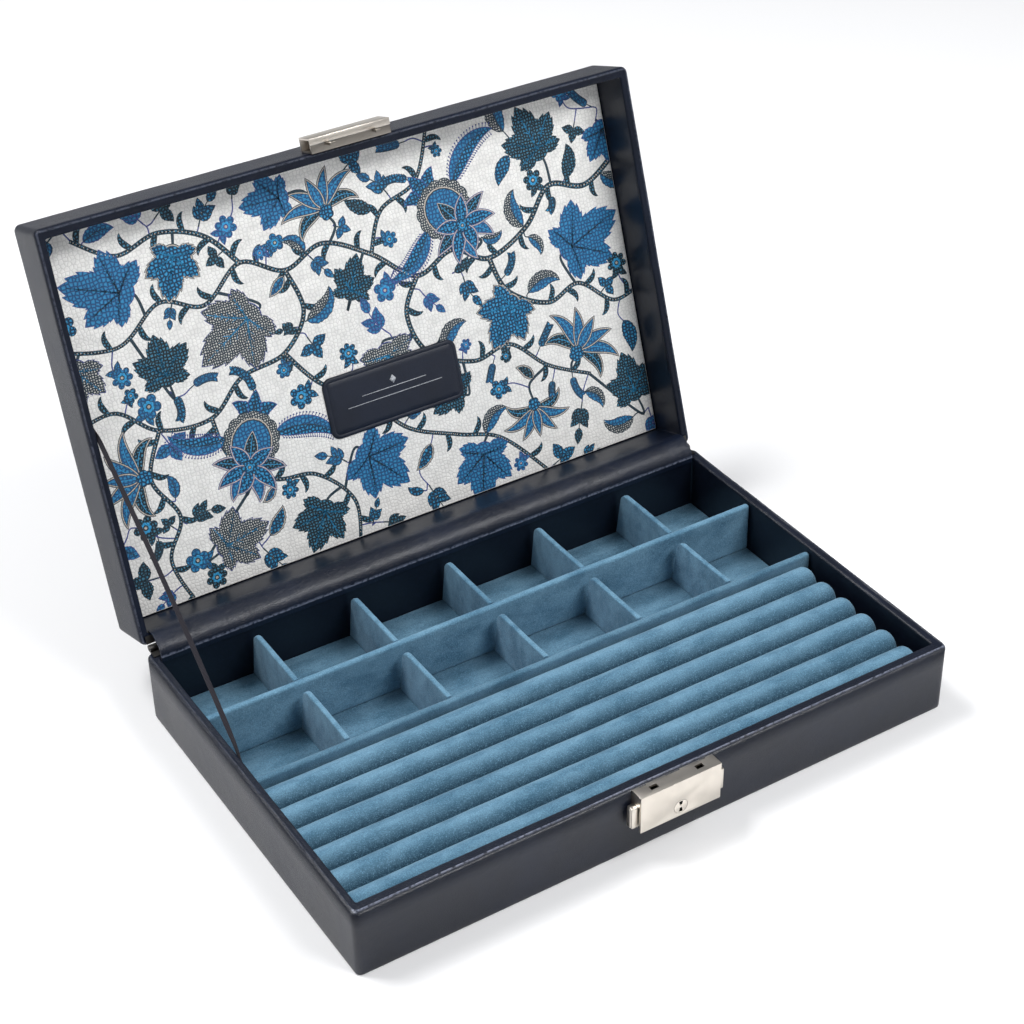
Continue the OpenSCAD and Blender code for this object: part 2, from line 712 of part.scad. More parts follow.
base_leather();
base_underside_cover();
base_bottom_board();
base_front_board();
base_back_board();
base_left_board();
base_right_board();
base_wall_lining();
floor_pad();
mid_divider();
front_rail();
back_divider(1);  // back_divider_1
back_divider(2);  // back_divider_2
back_divider(3);  // back_divider_3
back_divider(4);  // back_divider_4
back_divider(5);  // back_divider_5
front_divider(1);  // front_divider_1
front_divider(2);  // front_divider_2
front_divider(3);  // front_divider_3
front_divider(4);  // front_divider_4
front_divider(5);  // front_divider_5
ring_bed();
ring_roll(1);  // ring_roll_1
ring_roll(2);  // ring_roll_2
ring_roll(3);  // ring_roll_3
ring_roll(4);  // ring_roll_4
ring_roll(5);  // ring_roll_5
ring_roll(6);  // ring_roll_6
lid_leather();
lid_front_board();
lid_back_board();
lid_left_board();
lid_right_board();
lid_top_board();
lid_wall_lining();
lid_lining_panel();
label_patch();
lid_panel_board();
lid_panel_foam();
lid_panel_leather();
hinge_leaf_base();
hinge_leaf_lid();
hinge_pin();
hinge_nails_base();
hinge_nails_lid();
hinge_flap();
stay_ribbon();
lock_case();
lock_back_plate();
lock_screws();
lock_button(-1);  // lock_button_left
lock_button(1);  // lock_button_right
lock_spring(-1);  // lock_spring_left
lock_spring(1);  // lock_spring_right
lock_cylinder();
striker_channel();
striker_hook_plate();
striker_screws();
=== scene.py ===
"""Jewelry case with an open lid: leather shell, velvet fittings, printed lid lining, lock and hinge."""

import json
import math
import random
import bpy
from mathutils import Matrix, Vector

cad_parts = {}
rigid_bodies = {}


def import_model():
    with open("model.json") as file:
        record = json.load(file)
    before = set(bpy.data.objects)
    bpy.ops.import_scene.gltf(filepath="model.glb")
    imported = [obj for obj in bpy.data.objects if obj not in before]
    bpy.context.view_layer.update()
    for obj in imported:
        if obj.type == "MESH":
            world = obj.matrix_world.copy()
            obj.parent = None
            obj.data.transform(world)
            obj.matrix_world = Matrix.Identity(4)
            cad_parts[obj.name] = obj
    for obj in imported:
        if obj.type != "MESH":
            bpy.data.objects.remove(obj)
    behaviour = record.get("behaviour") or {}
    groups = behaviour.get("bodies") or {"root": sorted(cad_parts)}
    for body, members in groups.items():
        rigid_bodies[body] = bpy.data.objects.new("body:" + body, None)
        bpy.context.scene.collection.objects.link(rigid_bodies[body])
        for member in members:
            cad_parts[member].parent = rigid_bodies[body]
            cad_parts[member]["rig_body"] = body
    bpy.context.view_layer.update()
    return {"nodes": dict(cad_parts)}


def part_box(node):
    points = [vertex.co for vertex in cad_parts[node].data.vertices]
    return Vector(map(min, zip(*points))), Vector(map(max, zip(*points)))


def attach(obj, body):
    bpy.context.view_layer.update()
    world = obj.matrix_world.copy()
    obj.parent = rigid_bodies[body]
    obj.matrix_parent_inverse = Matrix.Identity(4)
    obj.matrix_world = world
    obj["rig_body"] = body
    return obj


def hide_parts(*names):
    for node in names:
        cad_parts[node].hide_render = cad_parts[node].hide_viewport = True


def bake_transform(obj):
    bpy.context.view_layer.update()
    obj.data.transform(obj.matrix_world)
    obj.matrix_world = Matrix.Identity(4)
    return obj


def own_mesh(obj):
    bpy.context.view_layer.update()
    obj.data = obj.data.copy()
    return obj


bl_info = {
    "name": "Jewelry Case",
    "version": (1, 0, 0),
    "blender": (4, 5, 0),
    "location": "View3D > Sidebar > Jewelry Case",
    "description": "Builds the looks of a lockable leather jewelry case around its solid model",
    "category": "Object",
}

import bmesh
import bpy
from mathutils import Matrix, Vector, noise

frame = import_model()
MM = 0.001
BASE_LOW, BASE_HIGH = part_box("base_leather")
LOCK_LOW, LOCK_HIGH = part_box("lock_case")
PIN_LOW, PIN_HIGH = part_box("hinge_pin")


# ---------------------------------------------------------------- settings


def length(name, description, default):
    return bpy.props.FloatProperty(
        name=name, description=description, default=default, unit="LENGTH", precision=5)


def colour(name, description, default):
    return bpy.props.FloatVectorProperty(
        name=name, description=description, default=default, size=3, min=0, max=1,
        subtype="COLOR")


def share(name, description, default):
    return bpy.props.FloatProperty(
        name=name, description=description, default=default, min=0, max=1, subtype="FACTOR")


class CaseSizes(bpy.types.PropertyGroup):
    """Sizes of the jewelry case, in metres."""

    width: length("Width", "Case width, side to side", BASE_HIGH.x - BASE_LOW.x)
    depth: length("Depth", "Case depth, front to back", BASE_HIGH.y - BASE_LOW.y)
    base_height: length("Base height", "Height of the base up to its rim", BASE_HIGH.z)
    rim_gap: length("Rim gap", "Gap between the rims when shut", 0.0025)
    lid_height: length("Lid height", "Height of the lid frame", 0.026)
    side_wall: length("Side wall", "Side wall thickness", 0.0037)
    front_wall: length("Front wall", "Front wall thickness of the base", 0.005)
    back_wall: length("Back wall", "Back wall thickness of the base", 0.0044)
    lid_end_wall: length("Lid end wall", "Front and back walls of the lid", 0.0041)
    corner: length("Corner", "Radius of the upright corners", 0.0025)
    lid_edge: length("Lid edge", "Radius of the lid frame's top edge", 0.0032)
    crown: length("Crown", "Rise of the padded top panel", 0.004)
    recess: length("Recess", "Depth from the lid rim to the printed lining", 0.019)
    crest: length("Crest", "Height of the folded crest along the rims", 0.0004)
    roll_wobble: length("Roll wobble", "Unevenness of the ring rolls", 0.00022)
    open_angle: bpy.props.FloatProperty(
        name="Open angle", description="Lid angle at rest, from shut",
        default=math.radians(108.5), subtype="ANGLE", unit="ROTATION")


class CaseColours(bpy.types.PropertyGroup):
    """Colours of the jewelry case."""

    leather: colour("Leather", "Navy cover leather", (0.0050, 0.0085, 0.0200))
    lining: colour("Lining", "Smooth dark lining", (0.0035, 0.0055, 0.012))
    velvet: colour("Velvet", "Dusty blue velvet", (0.122, 0.240, 0.336))
    velvet_dark: colour("Velvet shade", "Velvet brushed the other way", (0.053, 0.127, 0.194))
    ground: colour("Print ground", "Off-white ground of the print", (0.91, 0.90, 0.875))
    blue: colour("Print blue", "Main blue of the print", (0.020, 0.205, 0.450))
    slate: colour("Print slate", "Dark slate of stems and leaves", (0.030, 0.062, 0.088))
    violet: colour("Print violet", "Violet-blue outlines", (0.060, 0.080, 0.260))
    beige: colour("Print beige", "Beige contour bands", (0.520, 0.465, 0.410))
    bright: colour("Print bright", "Bright blue veins", (0.035, 0.310, 0.600))
    nickel: colour("Nickel", "Satin nickel of lock and striker", (0.700, 0.648, 0.578))
    # wear and painted highlight along the crest of the rims
    wear: share("Wear and highlight", "Polish along the crest of the rims", 0.75)


def sizes():
    """The size settings in millimetres, with what follows from them."""
    s = bpy.context.scene.jewelry_case_sizes
    m = type("Millimetres", (), {})()
    for key in CaseSizes.__annotations__:
        setattr(m, key, getattr(s, key) * (1 if key == "open_angle" else 1000))
    m.half_w, m.half_d = m.width / 2, m.depth / 2
    m.in_x = m.half_w - m.side_wall
    m.in_front = -m.half_d + m.front_wall
    m.in_back = m.half_d - m.back_wall
    m.lid_y = m.half_d - m.lid_end_wall
    m.lid_z = m.base_height + m.rim_gap
    m.lid_top = m.lid_z + m.lid_height
    m.pivot = Vector((0, (PIN_LOW.y + PIN_HIGH.y) / 2, (PIN_LOW.z + PIN_HIGH.z) / 2)) / MM
    return m


def opened(s):
    """Matrix, in metres, that turns a piece drawn with the lid shut to the open lid."""
    pivot = s.pivot * MM
    return (Matrix.Translation(pivot) @ Matrix.Rotation(-s.open_angle, 4, "X")
            @ Matrix.Translation(-pivot))


# ---------------------------------------------------------------- node writing


class Value:
    """A socket that takes part in plain arithmetic."""

    def __init__(self, nodes, socket):
        self.nodes, self.socket = nodes, socket

    def math(self, operation, *others):
        return self.nodes.node(
            "ShaderNodeMath", {"operation": operation}, dict(enumerate((self, *others))))

    def __add__(self, other):
        return self.math("ADD", other)

    def __sub__(self, other):
        return self.math("SUBTRACT", other)

    def __mul__(self, other):
        return self.math("MULTIPLY", other)

    def __truediv__(self, other):
        return self.math("DIVIDE", other)

    def __rsub__(self, other):
        return self.nodes.node(
            "ShaderNodeMath", {"operation": "SUBTRACT"}, {0: other, 1: self})

    def __rtruediv__(self, other):
        return self.nodes.node(
            "ShaderNodeMath", {"operation": "DIVIDE"}, {0: other, 1: self})

    def __pow__(self, other):
        return self.math("POWER", other)

    def __neg__(self):
        return self.math("MULTIPLY", -1.0)

    __radd__, __rmul__ = __add__, __mul__

    def above(self, limit):
        return self.math("GREATER_THAN", limit)

    def clamped(self):
        return self.nodes.node(
            "ShaderNodeMath", {"operation": "ADD", "use_clamp": True}, {0: self, 1: 0.0})

    def ramp(self, low, high):
        """0 below low, 1 above high, smooth between them."""
        return self.nodes.node(
            "MapRange", {"interpolation_type": "SMOOTHSTEP"},
            {"Value": self, "From Min": low, "From Max": high})


class Nodes:
    """Writes nodes into one tree."""

    prefix = "ShaderNode"

    def __init__(self, tree):
        self.tree = tree

    def node(self, kind, settings=(), inputs=(), out=0):
        """Adds a node of that kind, sets it up, then fills its inputs with values or links."""
        n = self.tree.nodes.new(kind if "Node" in kind else self.prefix + kind)
        for key, value in dict(settings).items():
            if key == "stops":
                for stop, (place, tone) in zip(n.color_ramp.elements, value):
                    stop.position, stop.color = place, (*tone, 1)
                for place, tone in value[2:]:
                    n.color_ramp.elements.new(place).color = (*tone, 1)
            else:
                setattr(n, key, value)
        for key, value in dict(inputs).items():
            if isinstance(value, Value):
                self.tree.links.new(value.socket, n.inputs[key])
            elif value is not None:
                n.inputs[key].default_value = value
        return Value(self, n.outputs[out])


class Finish(Nodes):
    """One material: a Principled surface with its patterns."""

    def __init__(self, name, **fixed):
        self.material = bpy.data.materials.new(name)
        self.material.use_nodes = True
        super().__init__(self.material.node_tree)
        self.tree.nodes.clear()
        self.surface = self.tree.nodes.new("ShaderNodeBsdfPrincipled")
        end = self.tree.nodes.new("ShaderNodeOutputMaterial")
        self.tree.links.new(self.surface.outputs[0], end.inputs[0])
        self.place = self.node("TexCoord", out=3)
        self.set(**fixed)

    def set(self, **inputs):
        for key, value in inputs.items():
            socket = self.surface.inputs[key.replace("_", " ")]
            if isinstance(value, Value):
                self.tree.links.new(value.socket, socket)
            elif isinstance(value, (tuple, list)) or hasattr(value, "r"):
                socket.default_value = (*value, 1)[:4]
            else:
                socket.default_value = value
        return self.material

    def noise(self, scale, detail=2.0, rough=0.5, at=None):
        return self.node("TexNoise", {}, {
            "Vector": at or self.place, "Scale": scale, "Detail": detail, "Roughness": rough})

    def cells(self, scale, feature="F1", at=None, flat=False, out=0, random=1.0):
        return self.node("TexVoronoi", {
            "feature": feature, "voronoi_dimensions": "2D" if flat else "3D"}, {
            "Vector": at or self.place, "Scale": scale, "Randomness": random}, out)

    def mix(self, factor, a, b, kind="MIX"):
        def tone(c):
            return c if isinstance(c, Value) else (*c, 1)
        return self.node("Mix", {"data_type": "RGBA", "blend_type": kind}, {
            0: factor, 6: tone(a), 7: tone(b)}, 2)

    def stretched(self, x=1.0, y=1.0, z=1.0, turn=(0, 0, 0), at=None):
        return self.node("Mapping", {}, {
            "Vector": at or self.place, "Scale": (x, y, z), "Rotation": turn})

    def bump(self, height, distance, strength=1.0, below=None):
        return self.node("Bump", {}, {
            "Height": height, "Distance": distance, "Strength": strength, "Normal": below})


def shade(c, k):
    return tuple(v * k for v in tuple(c)[:3])


# ---------------------------------------------------------------- finishes


def leather_finish(name, tone, grain=0.9, gloss=0.30, depth=0.00005, wear=0.0, creases=0.0,
                   shine=0.42, turned=None):
    """Satin calf leather: fine closed grain, faint clouding and crests lightened, part wear and part
    painted highlight.

    turned is the height, in metres, where padded walls turn in towards their rim.
    """
    f = Finish(name, Specular_IOR_Level=shine)
    pores = f.cells(1000 / grain, "DISTANCE_TO_EDGE")
    cloud = f.noise(38, 4, 0.6)
    fine = f.noise(2600, 2)
    skin = pores.ramp(0.0, 0.16)
    base = f.mix(cloud.ramp(0.35, 0.7), shade(tone, 0.80), shade(tone, 1.20))
    base = f.mix((1 - skin) * 0.35, base, shade(tone, 0.45))
    rough = gloss + cloud * 0.10 - skin * 0.05 + fine * 0.05
    if wear:
        # lighter colour along the rim crests: part wear, part painted highlight where the fold catches
        # the light
        crest = f.node("Attribute", {"attribute_name": "crest"}, out=2)
        patchy = f.noise(700, 3, 0.6).ramp(0.30, 0.58)
        edge = (crest * patchy * wear).clamped()
        base = f.mix(edge, base, (0.27, 0.30, 0.40))
        rough = rough - edge * 0.08
    swell = f.noise(120, 3)
    low = f.bump(swell, 0.00035, 0.5)
    if turned:
        split = f.tree.nodes.new("ShaderNodeSeparateXYZ")
        f.tree.links.new(f.place.socket, split.inputs[0])
        wander = (f.noise(30, 2) - 0.5) * 0.002
        rise = ((Value(f, split.outputs[2]) + wander - (turned - 0.008)) / 0.008).clamped()
        low = f.bump(rise * rise * -1.0, 0.0032, 1.0, low)
    if creases:
        fold = f.noise(420, 4, 0.6, f.stretched(1.6, 0.35, 0.35))
        low = f.bump(fold, creases, 0.9, low)
    f.set(Base_Color=base, Roughness=rough,
          Normal=f.bump(skin * 0.8 + fine * 0.2, depth, 0.9, low))
    return f.material


def lining_finish(name, tone, gloss=0.24):
    """Smooth coated lining, nearly black, with a soft uneven gloss."""
    f = Finish(name, Specular_IOR_Level=0.4)
    peel = f.noise(150, 3, 0.55)
    wave = f.noise(28, 2)
    dust = f.noise(900, 4, 0.7)
    f.set(Base_Color=f.mix(dust.ramp(0.45, 0.8), tone, shade(tone, 1.9)),
          Roughness=gloss + dust * 0.14 + wave * 0.08,
          Normal=f.bump(peel, 0.00014, 0.6, f.bump(wave, 0.0016, 0.55)))
    return f.material


def velvet_finish(name, tone, dark):
    """Short-pile velvet: brushed patches, fibre sparkle and a soft rim."""
    f = Finish(name, Roughness=0.95, Specular_IOR_Level=0.10, Sheen_Weight=0.30,
               Sheen_Roughness=0.40, Sheen_Tint=(0.66, 0.80, 0.92))
    brushed = f.noise(44, 3, 0.55, f.stretched(1.0, 1.7, 1.2))
    marks = f.noise(150, 4, 0.60, f.stretched(0.55, 1.4, 1.0))
    pile = f.noise(2100, 4, 0.75)
    tuft = f.noise(620, 2, 0.5)
    nap = (brushed.ramp(0.36, 0.68) * 0.60 + marks.ramp(0.40, 0.66) * 0.50).clamped()
    base = f.mix(nap, tone, dark)
    # painted shade on the rolls, stored at their points: darker over each roll's front half and along
    # its back edge
    laid = f.node("Attribute", {"attribute_name": "laid"}, out=2)
    base = f.mix((laid * (0.75 + tuft * 0.5)).clamped(), base, shade(dark, 0.42))
    base = f.mix(pile.ramp(0.50, 0.68) * 0.38, base, shade(tone, 1.75))
    base = f.mix((1 - pile.ramp(0.32, 0.50)) * 0.46, base, shade(dark, 0.5))
    f.set(Base_Color=base, Normal=f.bump(
        pile + tuft * 0.5, 0.00030, 1.0, f.bump(marks, 0.0005, 0.6)))
    return f.material


def print_finish(name, tone, light, border, cell_mix=1.0, line=0.07, cell=0.62):
    """One ink of the printed lining: the crackle of the ground shows through every ink."""
    f = Finish(name, Specular_IOR_Level=0.35, Roughness=0.55)
    flat = f.node("UVMap", {"uv_map": "panel"})
    # the panel map is in millimetres
    edge = f.cells(cell, "DISTANCE_TO_EDGE", flat, True, random=0.62)
    blot = f.noise(0.22, 3, 0.6, flat)
    island = edge.ramp(line * 0.4, line * 2.4)
    base = f.mix(blot.ramp(0.3, 0.7), shade(tone, 0.90), shade(tone, 1.10))
    base = f.mix(edge.ramp(0.16, 0.42) * cell_mix, base, light)
    base = f.mix(1 - island, base, border)
    weave = f.noise(9.0, 2, 0.5, flat)
    f.set(Base_Color=f.mix(weave.ramp(0.3, 0.75) * 0.10, base, shade(border, 0.8)),
          Roughness=0.48 + (1 - island) * 0.2,
          Normal=f.bump(edge.ramp(0.0, 0.30), 0.00011, 0.9))
    return f.material


def line_finish(name, tone):
    """Fine printed line work."""
    f = Finish(name, Specular_IOR_Level=0.35)
    flat = f.node("UVMap", {"uv_map": "panel"})
    edge = f.cells(0.62, "DISTANCE_TO_EDGE", flat, True, random=0.62)
    blot = f.noise(1.5, 3, 0.6, flat)
    f.set(Base_Color=f.mix(blot.ramp(0.3, 0.7), shade(tone, 0.8), shade(tone, 1.3)),
          Roughness=0.5 + blot * 0.1, Normal=f.bump(edge.ramp(0.0, 0.30), 0.00020, 0.9))
    return f.material


def metal_finish(name, tone, rough=0.32, along=(1.0, 14.0, 14.0)):
    """Satin nickel: fine brushing along the piece, faint clouding in the plate."""
    f = Finish(name, Metallic=1.0)
    hair = f.noise(700, 3, 0.6, f.stretched(*along))
    cloud = f.noise(140, 3)
    f.set(Base_Color=f.mix(cloud.ramp(0.3, 0.7), shade(tone, 0.95), shade(tone, 1.04)),
          Roughness=rough + (hair - 0.5) * 0.16 + cloud * 0.03,
          Normal=f.bump(hair, 0.00002, 0.55))
    return f.material


def tape_finish(name):
    """Dark grosgrain tape with ribs across its length."""
    f = Finish(name, Roughness=0.8, Specular_IOR_Level=0.2, Sheen_Weight=0.1,
               Sheen_Roughness=0.5)
    along = f.node("UVMap", {"uv_map": "tape"})
    rib = f.node("TexWave", {"bands_direction": "X"}, {
        "Vector": along, "Scale": 0.65, "Distortion": 0.25, "Detail": 2.0}, 1)
    fibre = f.noise(3000, 2)
    f.set(Base_Color=f.mix(rib, (0.010, 0.010, 0.014), (0.034, 0.031, 0.040)),
          Normal=f.bump(rib + fibre * 0.3, 0.00012, 0.8))
    return f.material


def fibre_finish(name, tone, scale, depth):
    """Plain fibrous stock: board, foam or cloth out of sight."""
    f = Finish(name, Roughness=0.9, Specular_IOR_Level=0.2)
    fibre = f.noise(scale, 5, 0.7)
    fleck = f.cells(scale * 0.8)
    f.set(Base_Color=f.mix(fibre.ramp(0.3, 0.7), shade(tone, 0.78), shade(tone, 1.15)),
          Normal=f.bump(fibre + fleck * 0.4, depth, 0.7))
    return f.material


def cloth_finish(name, tone):
    """Plain woven cloth under the base."""
    f = Finish(name, Roughness=0.88, Sheen_Weight=0.2)
    warp = f.node("TexWave", {"bands_direction": "X"}, {"Scale": 380, "Vector": f.place}, 1)
    weft = f.node("TexWave", {"bands_direction": "Y"}, {"Scale": 380, "Vector": f.place}, 1)
    cloud = f.noise(60, 3)
    f.set(Base_Color=f.mix(warp * weft, shade(tone, 0.7), shade(tone, 1.3)),
          Roughness=0.82 + cloud * 0.1, Normal=f.bump(warp + weft, 0.0001, 0.6))
    return f.material


FINISHES = {}


def finish(name):
    """Each finish is made once, when the first piece asks for it."""
    if name not in FINISHES:
        c = bpy.context.scene.jewelry_case_colours
        white, blue, slate = tuple(c.ground), tuple(c.blue), tuple(c.slate)
        makers = {
            "navy leather": lambda: leather_finish(
                name, tuple(c.leather), wear=c.wear,
                turned=bpy.context.scene.jewelry_case_sizes.base_height),
            "lid leather": lambda: leather_finish(
                name, tuple(c.leather), gloss=0.33, wear=c.wear, shine=0.20),
            "panel leather": lambda: leather_finish(name, tuple(c.leather), 0.8, 0.34, 0.00004),
            # the flap's 1.2 is its wear and painted highlight along the lower edge
            "flap leather": lambda: leather_finish(
                name, shade(c.leather, 1.2), 0.7, 0.27, 0.00005, 1.2, 0.00016, 0.38),
            "label leather": lambda: leather_finish(
                name, shade(c.leather, 1.25), 0.55, 0.42, 0.00003),
            "dark lining": lambda: lining_finish(name, tuple(c.lining)),
            "lid lining": lambda: lining_finish(name, shade(c.lining, 1.3), 0.22),
            "black board": lambda: fibre_finish(name, (0.010, 0.010, 0.012), 700, 0.0001),
            "shaded nickel": lambda: metal_finish(name, (0.30, 0.275, 0.245), 0.30),
            "keyway": lambda: metal_finish(name, (0.020, 0.019, 0.018), 0.55),
            # one velvet in lit and shaded copies: the rolls' velvet, a copy painted lighter for the
            # dividers and one painted darker for the floor and front rail
            "velvet": lambda: velvet_finish(
                name, shade(c.velvet, 1.22), shade(c.velvet_dark, 1.25)),
            "divider velvet": lambda: velvet_finish(
                name, shade(c.velvet, 1.30), shade(c.velvet_dark, 1.36)),
            "floor velvet": lambda: velvet_finish(
                name, shade(c.velvet, 0.98), shade(c.velvet_dark, 1.04)),
            "print ground": lambda: print_finish(
                name, white, shade(white, 1.06), shade(white, 0.78), 0.5, 0.040),
            "print blue": lambda: print_finish(
                name, blue, (0.050, 0.37, 0.66), (0.010, 0.036, 0.080), 0.9, 0.140, 0.66),
            "print pale blue": lambda: print_finish(
                name, (0.018, 0.165, 0.37), (0.045, 0.30, 0.56), (0.020, 0.065, 0.170), 0.85,
                0.075),
            "print slate": lambda: print_finish(
                name, slate, (0.060, 0.27, 0.43), shade(slate, 0.28), 0.9, 0.125, 0.75),
            "print mottled": lambda: print_finish(
                name, (0.26, 0.29, 0.30), (0.72, 0.71, 0.67), (0.016, 0.032, 0.048), 1.0, 0.16,
                0.98),
            "line slate": lambda: line_finish(name, shade(slate, 0.75)),
            "line violet": lambda: line_finish(name, tuple(c.violet)),
            "line bright": lambda: line_finish(name, tuple(c.bright)),
            "line beige": lambda: line_finish(name, tuple(c.beige)),
            "satin nickel": lambda: metal_finish(name, tuple(c.nickel)),
            "bright nickel": lambda: metal_finish(name, shade(c.nickel, 1.08), 0.20),
            "dark steel": lambda: metal_finish(name, (0.075, 0.072, 0.070), 0.42),
            "tape": lambda: tape_finish(name),
            "fibreboard": lambda: fibre_finish(name, (0.46, 0.27, 0.12), 700, 0.0001),
            "foam": lambda: fibre_finish(name, (0.62, 0.60, 0.52), 1600, 0.0003),
            "under cloth": lambda: cloth_finish(name, (0.022, 0.023, 0.030)),
            "pale rule": lambda: line_finish(name, (0.50, 0.52, 0.56)),
        }
        FINISHES[name] = makers[name]()
    return FINISHES[name]


# ---------------------------------------------------------------- mesh helpers


def piece(name, points, faces, material, body=None, nodes=(), turn=None, smooth=True):
    """A mesh piece from points in millimetres, placed, shaded and tied to its body."""
    mesh = bpy.data.meshes.new(name)
    mesh.from_pydata([Vector(p) * MM for p in points], [], faces)
    obj = bpy.data.objects.new(name, mesh)
    bpy.context.scene.collection.objects.link(obj)
    if turn is not None:
        mesh.transform(turn)
    for m in ([material] if isinstance(material, str) else material):
        mesh.materials.append(finish(m))
    mesh.polygons.foreach_set("use_smooth", [smooth] * len(mesh.polygons))
    mesh.update()
    return tied(obj, body, nodes)


def tied(obj, body=None, nodes=()):
    if nodes:
        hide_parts(*nodes)
    if body:
        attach(obj, body)
    return obj


def outward(obj):
    """Makes every face point out of a closed mesh."""
    b = bmesh.new()
    b.from_mesh(obj.data)
    bmesh.ops.recalc_face_normals(b, faces=b.faces)
    b.to_mesh(obj.data)
    b.free()
    return obj


def creased(obj, degrees=35):
    obj.data.set_sharp_from_angle(angle=math.radians(degrees))
    return obj


def ring(rect, radius, z, nx, ny, nc=6):
    """Rounded rectangle at height z, anticlockwise, with the same count for every ring."""
    x0, x1, y0, y1 = rect
    out = []
    corners = ((x1 - radius, y0 + radius, -90), (x1 - radius, y1 - radius, 0),
               (x0 + radius, y1 - radius, 90), (x0 + radius, y0 + radius, 180))
    for k, (cx, cy, a0) in enumerate(corners):
        for i in range(nc + 1):
            a = math.radians(a0 + 90 * i / nc)
            out.append((cx + radius * math.cos(a), cy + radius * math.sin(a), z))
        nx_, ny_, b0 = corners[(k + 1) % 4]
        b = math.radians(b0)
        end = (nx_ + radius * math.cos(b), ny_ + radius * math.sin(b))
        start, n = out[-1], (ny if k % 2 == 0 else nx)
        for i in range(1, n):
            t = i / n
            out.append((start[0] + (end[0] - start[0]) * t, start[1] + (end[1] - start[1]) * t, z))
    return out


def loft(rings, closed=False, cap_start=False, cap_end=False):
    """Points and faces of a skin over rings of equal count."""
    n = len(rings[0])
    points = [p for r in rings for p in r]
    faces = []
    for k in range(len(rings) if closed else len(rings) - 1):
        a, b = k * n, ((k + 1) % len(rings)) * n
        for i in range(n):
            j = (i + 1) % n
            faces.append((a + i, a + j, b + j, b + i))
    if cap_start:
        faces.append(tuple(range(n - 1, -1, -1)))
    if cap_end:
        faces.append(tuple(range((len(rings) - 1) * n, len(rings) * n)))
    return points, faces


def between(a, b, t):
    return tuple(p + (q - p) * t for p, q in zip(a, b))


def uneven(points, amount, scale, seed, keep=None):
    """Moves points a little, in a soft random way. keep gives a share for a point."""
    out = []
    for p in points:
        v = Vector(p)
        k = 1.0 if keep is None else keep(v)
        if k:
            v = v + noise.noise_vector(v * scale + Vector((seed, seed * 0.7, -seed))) * amount * k
        out.append(tuple(v))
    return out


def block(x0, x1, y0, y1, z0, z1, r, step):
    """Points and faces of a box with rounded edges and evenly divided sides."""
    def marks(a, b):
        ease = [0, r * 0.12, r * 0.4, r * 0.75]
        n = max(1, round((b - a - 2 * r) / step))
        return ([a + e for e in ease] + [a + r + (b - a - 2 * r) * i / n for i in range(n + 1)]
                + [b - e for e in reversed(ease)])
    grid = (marks(x0, x1), marks(y0, y1), marks(z0, z1))
    size = [len(g) for g in grid]
    index, points, faces = {}, [], []

    def at(i, j, k):
        if (i, j, k) not in index:
            p = Vector((grid[0][i], grid[1][j], grid[2][k]))
            q = Vector((min(max(p.x, x0 + r), x1 - r), min(max(p.y, y0 + r), y1 - r),
                        min(max(p.z, z0 + r), z1 - r)))
            d = p - q
            reach = max(abs(d.x), abs(d.y), abs(d.z))
            if d.length > 0:
                p = q + d.normalized() * reach
            index[i, j, k] = len(points)
            points.append(tuple(p))
        return index[i, j, k]

    for axis in range(3):
        u, v = (axis + 1) % 3, (axis + 2) % 3
        for side in (0, size[axis] - 1):
            for i in range(size[u] - 1):
                for j in range(size[v] - 1):
                    face = []
                    for a, b in ((i, j), (i + 1, j), (i + 1, j + 1), (i, j + 1)):
                        key = [0, 0, 0]
                        key[axis], key[u], key[v] = side, a, b
                        face.append(at(*key))
                    faces.append(tuple(face if side else reversed(face)))
    return points, faces


def eased(node, name, material, width=0.16, segments=2, angle=32, also=()):
    """A CAD piece with its sharp edges eased, as pressed and plated sheet has them."""
    source = frame["nodes"][node]
    mesh = source.data.copy()
    mesh.materials.clear()
    b = bmesh.new()
    b.from_mesh(mesh)
    bmesh.ops.remove_doubles(b, verts=b.verts, dist=2e-6)
    bmesh.ops.dissolve_limit(b, angle_limit=math.radians(1.0), verts=b.verts, edges=b.edges)
    edges = [e for e in b.edges if len(e.link_faces) == 2
             and e.calc_face_angle(0) > math.radians(angle)]
    bmesh.ops.bevel(b, geom=edges, offset=width * MM, segments=segments, profile=0.5,
                    affect="EDGES", clamp_overlap=True)
    bmesh.ops.triangulate(b, faces=[f for f in b.faces if len(f.verts) > 4])
    b.to_mesh(mesh)
    b.free()
    obj = bpy.data.objects.new(name, mesh)
    bpy.context.scene.collection.objects.link(obj)
    mesh.materials.append(finish(material))
    mesh.polygons.foreach_set("use_smooth", [True] * len(mesh.polygons))
    mesh.set_sharp_from_angle(angle=math.radians(40))
    return tied(obj, source["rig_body"], (node, *also))


# ---------------------------------------------------------------- geometry node trees


class Growth(Nodes):
    """A geometry node tree with named inputs."""

    prefix = "GeometryNode"

    def __init__(self, name, **inputs):
        tree = bpy.data.node_groups.new(name, "GeometryNodeTree")
        super().__init__(tree)
        tree.interface.new_socket("Geometry", in_out="INPUT", socket_type="NodeSocketGeometry")
        for key, value in inputs.items():
            kind = {int: "Int", float: "Float", tuple: "Vector"}[type(value)]
            socket = tree.interface.new_socket(
                key.replace("_", " "), in_out="INPUT", socket_type="NodeSocket" + kind)
            socket.default_value = value
        tree.interface.new_socket("Geometry", in_out="OUTPUT", socket_type="NodeSocketGeometry")
        self.start = tree.nodes.new("NodeGroupInput")
        self.end = tree.nodes.new("NodeGroupOutput")

    def given(self, name):
        return Value(self, self.start.outputs[name])

    def math_node(self, operation, a, b=0.0):
        return self.node("ShaderNodeMath", {"operation": operation}, {0: a, 1: b})

    def close(self, geometry, material):
        smooth = self.node("SetShadeSmooth", {}, {"Geometry": geometry})
        real = self.node("RealizeInstances", {}, {"Geometry": smooth})
        done = self.node("SetMaterial", {}, {"Geometry": real, "Material": finish(material)})
        self.tree.links.new(done.socket, self.end.inputs[0])


